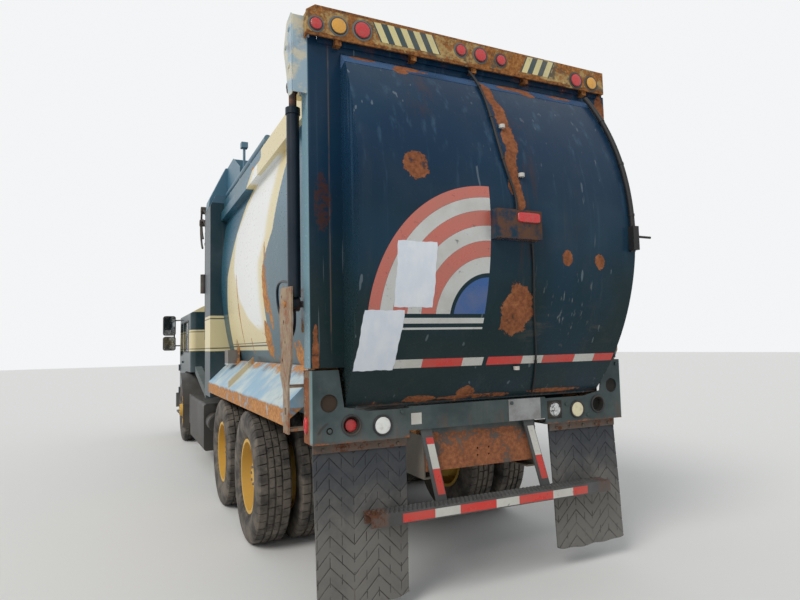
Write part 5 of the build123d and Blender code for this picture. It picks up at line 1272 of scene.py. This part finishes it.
def makeRearStrips():
    r = rearStrips
    low, high = (np.array(corner) + (rearX, 0, 0) for corner in r["backing"])
    slab(Surface(), low, high).build("bar_backing", "tailgate", "body_paint", "gate")
    clamps = Surface()
    near, far = rearX + r["clamp"][0], rearX + r["clamp"][1]
    for start, end in [flap[1:3] for flap in flapSizes["sides"]]:
        slab(clamps, (near, min(start, end), r["clampUp"][0]), (far, max(start, end), r["clampUp"][1]))
        inset = math.copysign(r["boltInset"], end)
        for y in np.linspace(start + inset, end - inset, r["bolts"]):
            clamps.turn(boltHead(0.011, -0.007, -0.009), (near, y, r["boltUp"]), "x", 6)
    clamps.build("flap_clamps", "chassis", "flap", "rusty", bevel=0.0015)
    for s, side in ((1, "left"), (-1, "right")):
        marker = ovalLens(Surface(), onSide(s, r["markerSide"]), r["marker"], r["markerHalf"], r["markerOut"])
        marker.build("side_marker_" + side, "chassis", "lens", "red")


# Outer cheek of the tailgate's left ear, over the lift rod's eye, and the web that joins it to the ear
cheek = {"outline": [(0.004, 3.06), (0.086, 3.075), (0.126, 3.23), (0.19, 3.4), (0.116, 3.545),
                     (0.004, 3.565)],
         "sides": (1.2525, 1.2585), "web": ((0.0005, 1.16, 3.075), (0.006, 1.2522, 3.55)),
         "bolts": [(0.06, 3.48), (0.135, 3.4), (0.06, 3.25)]}


def makeCheek():
    surface = Surface()
    plate(surface, softCorners(cheek["outline"], 0.018, 4) + (rearX, 0.0), *cheek["sides"], "y")
    slab(surface, *(np.array(corner) + (rearX, 0, 0) for corner in cheek["web"]))
    for along, up in cheek["bolts"]:
        where = (rearX + along, cheek["sides"][1] - 0.0002, up)
        surface.turn(boltHead(0.015, 0.006, 0.007), where, "y", 6)
    surface.build("ear_cheek", "tailgate", "body_paint", "cheek", bevel=0.0015)


# White bands that clip the held hoses: place across, height
clipPlaces = [(-0.163, 1.405), (-0.08, 2.6), (-0.01, 2.93)]


def makeClips():
    surface = Surface()
    band = [(-0.012, 0.0), (-0.012, 0.02), (0.012, 0.02), (0.012, 0.0)]
    for y, z in clipPlaces:
        surface.turn(band, onGate(np.array(y), np.array(z), 0.012), "z", 20)
    surface.build("hose_clips", "tailgate", "hose_rubber", "tapeWhite", bevel=0.001)


# Cab inside: padded seats, dash and wheel, in metres forward of the rear face, across and up. The dash is an
# outline of (place from its front, height).
cabInside = {
    "floor": 1.235, "seatMiddle": 0.72, "seatHalf": 0.235, "seatBack": 7.67, "seatFront": 8.23,
    "padHalf": (0.27, 0.062), "padUp": 0.205, "padLean": 0.05, "fill": 0.8,
    "backHalf": (0.062, 0.255), "backUp": 0.47, "backLean": -0.17, "baseHalf": 0.2, "baseHigh": 0.15,
    "dashFront": 9.09, "dashHalf": 0.985,
    "dash": [(0.0, 1.385), (-0.1, 1.415), (-0.25, 1.42), (-0.3, 1.395), (-0.34, 1.33), (-0.33, 1.3)],
    "wheel": (8.7, 0.72, 1.44), "wheelTilt": 0.432, "wheelRadius": 0.212, "rimHalf": 0.014,
    "spoke": ((0.03, -0.016, -0.006), (0.203, 0.016, 0.006)),
    "hub": [(-0.22, 0.0), (-0.22, 0.028), (-0.03, 0.028), (-0.02, 0.052), (0.012, 0.05), (0.018, 0.0)],
}


# Crowned closed pad: a rounded box whose sides pull in between its corners, leaning by an angle
def pad(centre, half, lean):
    u, v = np.meshgrid(np.linspace(-np.pi / 2, np.pi / 2, 25), np.linspace(0, 2 * np.pi, 64, endpoint=False),
                       indexing="ij")

    def soft(value, power):
        return np.sign(value) * np.abs(value) ** power

    x = soft(np.cos(u), 0.55) * soft(np.cos(v), 0.32)
    y = soft(np.cos(u), 0.55) * soft(np.sin(v), 0.32)
    z = soft(np.sin(u), 0.62)
    pull = 1.0 - 0.05 * np.abs(np.cos(2 * v)) * np.cos(u) ** 2
    channel = 1.0 - 0.05 * np.exp(-((np.abs(y) - 0.45) / 0.05) ** 2) * (np.abs(z) > 0.6)
    along, up = x * half[0] * pull, z * half[2] * channel
    forward = along * math.cos(lean) + up * math.sin(lean)
    rise = up * math.cos(lean) - along * math.sin(lean)
    return np.stack([centre[0] + forward, centre[1] + y * half[1] * pull, centre[2] + rise], -1)


def makeCabInside():
    c = cabInside
    x0, x1 = rearX + c["seatBack"], rearX + c["seatFront"]
    floor, half = c["floor"], c["seatHalf"]
    words = {"replaced": ("cab_interior",)}
    for s, side in ((1, "left"), (-1, "right")):
        y = s * c["seatMiddle"]
        long, high = c["padHalf"]
        seat = pad(((x0 + x1) / 2, y, floor + c["padUp"]), (long, half, high), c["padLean"])
        deep, tall = c["backHalf"]
        back = pad((x0 - 0.035, y, floor + c["backUp"]), (deep, half, tall), c["backLean"])
        for name, points in (("seat_pad_", seat), ("seat_back_", back)):
            surface = Surface().grid(points, closedV=True, capped=True)
            surface.build(name + side, "chassis", "interior", "seat", **words)
        base = slab(Surface(), (x0 + 0.05, y - c["baseHalf"], floor),
                    (x1 - 0.04, y + c["baseHalf"], floor + c["baseHigh"]))
        base.build("seat_base_" + side, "chassis", "interior", "interior", bevel=0.012, **words)
    outline = np.array([(0.0, floor), *c["dash"], (-0.3, floor)]) + (rearX + c["dashFront"], 0)
    dash = plate(Surface(), outline, -c["dashHalf"], c["dashHalf"], "y")
    dash.build("dash", "chassis", "interior", "interior", bevel=0.012, **words)
    # The wheel is made flat round its hub, then leant back
    turn, wrap = np.meshgrid(np.linspace(0, 2 * np.pi, 48, endpoint=False),
                             np.linspace(0, 2 * np.pi, 12, endpoint=False), indexing="ij")
    reach = c["wheelRadius"] + c["rimHalf"] * np.cos(wrap)
    rim = np.stack([reach * np.cos(turn), reach * np.sin(turn), c["rimHalf"] * np.sin(wrap)], -1)
    wheel = Surface().grid(rim, closedU=True, closedV=True)
    spoke = slabPoints(*c["spoke"])
    for angle in (0.25, np.pi - 0.25, 1.5 * np.pi):
        wheel.add(spoke @ np.array(Matrix.Rotation(-angle, 3, "Z")), slabFaces)
    wheel.turn(c["hub"], (0, 0, 0), "z", 24)
    lean = np.array(Matrix.Rotation(c["wheelTilt"], 3, "Y"))
    wheel.points = [points @ lean + (rearX, 0, 0) + c["wheel"] for points in wheel.points]
    wheel.build("steering_wheel", "chassis", "interior", "plastic", **words)


# Cab outside, in metres forward of the rear face: rubbers, wipers, lamps, mirror glass
cabOutside = {
    "front": 9.15, "back": 7.15, "half": 1.085, "rakeFrom": 1.33, "rakeTop": 2.18, "run": 0.19,
    "screen": [(0.03, 1.42), (0.975, 1.42), (0.975, 2.12), (0.03, 2.12)],
    "side": [(7.48, 1.54), (8.257, 1.54), (8.257, 2.06), (7.48, 2.06)],
    "door": [(8.442, 1.5), (8.931, 1.46), (8.797, 2.06), (8.442, 2.06)],
    "rear": [(-0.42, 1.62), (0.42, 1.62), (0.42, 2.06), (-0.42, 2.06)],
    "grille": [(-0.446, 0.776), (0.446, 0.776), (0.446, 1.262), (-0.446, 1.262)],
    # Wipers: pivot, blade's middle, blade's foot and tip, across and up
    "wipers": [((0.64, 1.372), (0.35, 1.65), (0.59, 1.452), (0.13, 1.852)),
               ((-0.3, 1.372), (-0.6, 1.65), (-0.36, 1.452), (-0.82, 1.852))],
    "lamps": (0.64, 0.85), "lampUp": 0.87, "lampRadius": 0.092,
    "turnLamp": ((0.56, 0.98), (0.94, 1.04)),
    "markers": (-0.78, -0.2, 0.0, 0.2, 0.78), "markerUp": 2.1505, "corner": 0.045,
    "mirrors": [(1.57, 1.82), (1.86, 2.22)], "mirrorSides": (1.18, 1.38),
    "mirrorFace": (9.0685, 9.0698),
}


# The windscreen's face: above a height it leans back, by run at the top
def onScreen(across, up, out=0.0):
    c = cabOutside
    lean = c["run"] / (c["rakeTop"] - c["rakeFrom"])
    along = c["front"] - lean * np.maximum(up - c["rakeFrom"], 0.0) + out
    return np.stack([rearX + along + 0 * across, across, up], -1)


# A flat face that looks sideways, left for 1 and right for -1, at a distance from the middle
def onSide(side, distance):
    def place(along, up, out=0.0):
        return np.stack([rearX + along, side * (distance + out) + 0 * along, up], -1)
    return place


def onCabBack(across, up, out=0.0):
    return np.stack([rearX + cabOutside["back"] - out + 0 * across, across, up], -1)


# Closed outline with its corners turned into curves that start a reach away from each corner
def softCorners(outline, reach, steps=6):
    outline = np.asarray(outline, float)
    back = np.roll(outline, 1, axis=0) - outline
    ahead = np.roll(outline, -1, axis=0) - outline
    start = outline + back / np.linalg.norm(back, axis=1)[:, None] * reach
    end = outline + ahead / np.linalg.norm(ahead, axis=1)[:, None] * reach
    t = np.linspace(0.0, 1.0, steps)[None, :, None]
    curve = (1 - t) ** 2 * start[:, None] + 2 * t * (1 - t) * outline[:, None] + t ** 2 * end[:, None]
    return curve.reshape(-1, 2)


# Closed outline moved outwards by a distance: each corner goes along its mitre
def moved(outline, distance):
    ahead = np.roll(outline, -1, axis=0) - outline
    ahead = ahead / np.linalg.norm(ahead, axis=1)[:, None]
    out = np.stack([ahead[:, 1], -ahead[:, 0]], -1)
    before = np.roll(out, 1, axis=0)
    mitre = (out + before) / (1.0 + np.sum(out * before, axis=1))[:, None]
    return outline + mitre * distance


# Rubber or frame round an opening: loops of (how far outside the outline, how far off the face)
rubberLoops = ((-0.004, -0.004), (-0.004, 0.005), (0.006, 0.008), (0.018, 0.004), (0.018, -0.001))
rimLoops = ((0.0, 0.0), (0.0, 0.016), (0.004, 0.02), (0.018, 0.02), (0.022, 0.016), (0.022, 0.0))


def surround(surface, place, outline, loops=rubberLoops):
    rings = [place(*moved(outline, distance).T, out) for distance, out in loops]
    return surface.grid(rings, closedU=True, closedV=True)


# Flat bar on a face between two places, with a half width and two levels
def strip(surface, place, start, end, half, low, high):
    start, end = np.array(start), np.array(end)
    ahead = (end - start) / np.linalg.norm(end - start)
    line = start + (end - start) * np.linspace(0.0, 1.0, 6)[:, None]
    across = np.stack([line[:, 0] + ahead[1] * half, line[:, 0] - ahead[1] * half], -1)
    up = np.stack([line[:, 1] - ahead[0] * half, line[:, 1] + ahead[0] * half], -1)
    return surface.skin(place(across, up, high), place(across, up, low))


# Oval lens on a face: its rim, then a crown that closes on the middle
def ovalLens(surface, place, centre, half, high):
    turn = np.linspace(0, 2 * np.pi, 40, endpoint=False)
    rings = []
    for out, share in ((0.0, 0.0), (0.0, 1.0), (0.45, 1.0), (0.75, 0.9), (0.95, 0.6), (1.0, 0.0)):
        across = centre[0] + half[0] * np.cos(turn) * share
        up = centre[1] + half[1] * np.sin(turn) * share
        rings.append(place(across, up, out * high))
    return surface.grid(np.array(rings), closedV=True)


def makeRubbers():
    c = cabOutside
    fixed = Surface()
    for s in (1, -1):
        pane = np.array(c["screen"]) * (s, 1)
        surround(fixed, onScreen, softCorners(pane[::s], c["corner"]))
        surround(fixed, onSide(s, c["half"]), softCorners(c["side"], c["corner"]))
    surround(fixed, onCabBack, softCorners(c["rear"], c["corner"]))
    fixed.build("window_rubbers", "chassis", "black_paint", "rubber", angle=60.0)
    for s, side in ((1, "left"), (-1, "right")):
        door = surround(Surface(), onSide(s, c["half"]), softCorners(c["door"], c["corner"]))
        door.build("door_rubber_" + side, "door_" + side, "black_paint", "rubber", angle=60.0)


def makeWipers():
    arms, blades = Surface(), Surface()
    boss = [(-0.002, 0.0), (-0.002, 0.02), (0.014, 0.02), (0.022, 0.014), (0.022, 0.0)]
    for pivot, middle, foot, tip in np.array(cabOutside["wipers"]):
        strip(arms, onScreen, pivot, middle, 0.008, 0.01, 0.018)
        arms.turn(boss, onScreen(pivot[0], pivot[1]), "x", 24)
        strip(blades, onScreen, foot, tip, 0.007, -0.016, -0.004)
        lift = (tip - foot) * 0.12
        strip(blades, onScreen, middle - lift, middle + lift, 0.011, -0.005, 0.011)
    arms.build("wiper_arms", "chassis", "black_paint", "plastic", bevel=0.0015)
    blades.build("wiper_blades", "chassis", "black_paint", "rubber", bevel=0.001)


def makeCabLamps():
    c = cabOutside
    front = rearX + c["front"]
    rims, glasses, bars = Surface(), Surface(), Surface()
    radius = c["lampRadius"]
    section = [(0.0, radius - 0.016), (0.0, radius), (0.03, radius), (0.04, radius - 0.005),
               (0.041, radius - 0.01), (0.034, radius - 0.016), (0.0, radius - 0.016)]
    dome = lensOutline(radius - 0.013, 0.026) * (-1.0, 1.0) + (0.018, 0.0)
    low, high = c["turnLamp"]
    for s in (1, -1):
        for across in c["lamps"]:
            where = (front, s * across, c["lampUp"])
            rims.turn(section, where, "x")
            glasses.turn(dome, where, "x")
        near, far = sorted((s * low[0], s * high[0]))
        slab(rims, (front, near, low[1]), (front + 0.02, far, high[1]))
        slab(bars, (front + 0.0205, near + 0.008, low[1] + 0.007),
             (front + 0.029, far - 0.008, high[1] - 0.007))
    old = ("headlamps",)
    rims.build("headlamp_rims", "chassis", "lens", "bareMetal", bevel=0.002, replaced=old)
    glasses.build("headlamp_lenses", "chassis", "lens", "headlamp", angle=25.0, replaced=old)
    bars.build("turn_lamps", "chassis", "lens", "amber", bevel=0.003, replaced=old)
    markers = Surface()
    for across in c["markers"]:
        ovalLens(markers, onScreen, (across, c["markerUp"]), (0.042, 0.0135), 0.014)
    markers.build("roof_markers", "chassis", "lens", "amber", angle=25.0)
    grille = plate(Surface(), c["grille"], front + 0.0004, front + 0.0024)
    grille.build("grille_backing", "chassis", "black_paint", "dark")
    rim = surround(Surface(), onScreen, softCorners(c["grille"], 0.012, 4), rimLoops)
    rim.build("grille_rim", "chassis", "black_paint", "black", angle=40.0)


def makeMirrorGlass():
    faces = Surface()
    c = cabOutside
    near, far = c["mirrorSides"]
    back, face = c["mirrorFace"]
    for s in (1, -1):
        for low, high in c["mirrors"]:
            outline = np.array([(near, low), (far, low), (far, high), (near, high)]) * (s, 1)
            plate(faces, softCorners(outline[::s], 0.04), rearX + back, rearX + face)
    faces.build("mirror_glass", "chassis", "mirror_black", "mirrorGlass")


makeHood()
makeRubbers()
makeWipers()
makeCabLamps()
makeMirrorGlass()
print("cab: rubbers, wipers, lamps and mirror glass")
makeRearStrips()
makeCheek()
makeClips()
makeCabInside()
print("hood, strips and cab inside")
makeTapes()
makeDevice()
makeStripes()
makeBarLamps()
makeRearLamps()
makeRearMarks()
makeFlaps()
makeStepTread()
print("rear: tape, paint, lamps, flaps and step")

# The CAD nodes that show as they are, by finish
nodeFinishes = {
    "chassis": "frame_rails arm_base",
    "rusty": "cross_members tandem_beams",
    "cast": "front_axle front_springs driveline engine_block knuckle_left knuckle_right valve_bank",
    "bracket": "lift_brackets",
    "barrel": "lift_barrel_left lift_barrel_right",
    "chrome": "lift_rod_left lift_rod_right",
    "red": "gate_lamps",
    "white": "headlamps rear_lamps",
    "hose": "gate_hoses",
    "cab": "cab_shell door_left door_right",
    "glass": "cab_glass door_glass_left door_glass_right",
    "interior": "cab_interior",
    "black": "front_bumper cab_guards arm_slide finger_front finger_rear",
    "plastic": "mirrors",
    "exhaust": "exhaust_stack",
    "tank": "side_tanks",
    "side": "body_shell",
    "frontFrame": "body_front_frame",
    "hood": "roof_hood",
    "shelf": "fender_shelves",
    "hopper": "hopper packer_panel",
    "creamBar": "arm_link",
    "gate": "tailgate_frame tailgate_shell",
    "bar": "light_bar",
    "panel": "rear_panels",
    "flap": "rear_flaps",
    "stepSteel": "step_bar",
    "rim": "rim_front_left rim_front_right rims_fore_left rims_fore_right rims_aft_left rims_aft_right",
}


def dressNodes():
    for finish, nodes in nodeFinishes.items():
        for node in nodes.split():
            for slot in frame["nodes"][node].material_slots:
                slot.link = "OBJECT"
                slot.material = paint[finish]


dressNodes()
print("nodes: painted")

# Camera: solved from the photograph, in metres, radians and pixels
camera = {"place": (rearX - 3.3458, 2.1578, 1.5682), "yaw": 0.4394, "pitch": 0.0755, "roll": -0.0217,
          "focal": 597.61}
photoWidth = 800


def makeCamera():
    c = camera
    ahead = Vector((math.cos(c["pitch"]) * math.cos(c["yaw"]), -math.cos(c["pitch"]) * math.sin(c["yaw"]),
                    math.sin(c["pitch"])))
    right = Vector((-math.sin(c["yaw"]), -math.cos(c["yaw"]), 0.0))
    over = right.cross(ahead)
    side = right * math.cos(c["roll"]) + over * math.sin(c["roll"])
    top = over * math.cos(c["roll"]) - right * math.sin(c["roll"])
    data = bpy.data.cameras.new("photoCamera")
    data.sensor_width = 36.0
    data.lens = c["focal"] / photoWidth * data.sensor_width
    data.clip_end = 200.0
    lens = addObject("photoCamera", data)
    turn = Matrix((side, top, -ahead)).transposed().to_4x4()
    lens.matrix_world = Matrix.Translation(c["place"]) @ turn
    bpy.context.scene.camera = lens


# Plain studio: pale floor, a soft key from the truck's left and the sky's even light, which the camera,
# metal and glass see as white
studio = {"sky": 0.62, "skyColour": (0.95, 0.98, 1.0), "shown": (0.9, 0.91, 0.92), "key": 1.55,
          "keyColour": (1.0, 0.97, 0.92), "keyFrom": (-0.42, 0.72, 0.72), "keyAngle": 24.0,
          "floor": (0.74, 0.74, 0.73), "floorHalf": 60.0}


def makeStudio():
    b = Bench("studioSky", world=True)
    path = b.node("ShaderNodeLightPath", {}, {}, None)
    seen, glossy, through = (Wire(b, path.outputs["Is %s Ray" % kind])
                             for kind in ("Camera", "Glossy", "Transmission"))
    light = b.node("ShaderNodeBackground", {}, {"Color": studio["skyColour"], "Strength": studio["sky"]})
    shown = b.node("ShaderNodeBackground", {}, {"Color": studio["shown"], "Strength": 1.0})
    sky = b.node("ShaderNodeMixShader", {}, {0: seen.most(glossy).most(through), 1: light, 2: shown})
    b.node("ShaderNodeOutputWorld", {}, {0: sky}, None)
    bpy.context.scene.world = b.owner

    key = bpy.data.lights.new("key", "SUN")
    key.energy = studio["key"]
    key.angle = math.radians(studio["keyAngle"])
    key.color = studio["keyColour"]
    lamp = addObject("key", key)
    lamp.rotation_mode = "QUATERNION"
    lamp.rotation_quaternion = Vector(studio["keyFrom"]).to_track_quat("Z", "Y")

    half = studio["floorHalf"]
    mesh = bpy.data.meshes.new("floor")
    corners = [(-half, -half, 0), (half, -half, 0), (half, half, 0), (-half, half, 0)]
    mesh.from_pydata(corners, [], [(0, 1, 2, 3)])
    mesh.materials.append(Bench("floorPale").finish({"Base Color": studio["floor"], "Roughness": 0.9}))
    addObject("floor", mesh)


makeCamera()
makeStudio()
bpy.context.scene.view_settings.view_transform = "Standard"
print("studio: ready")
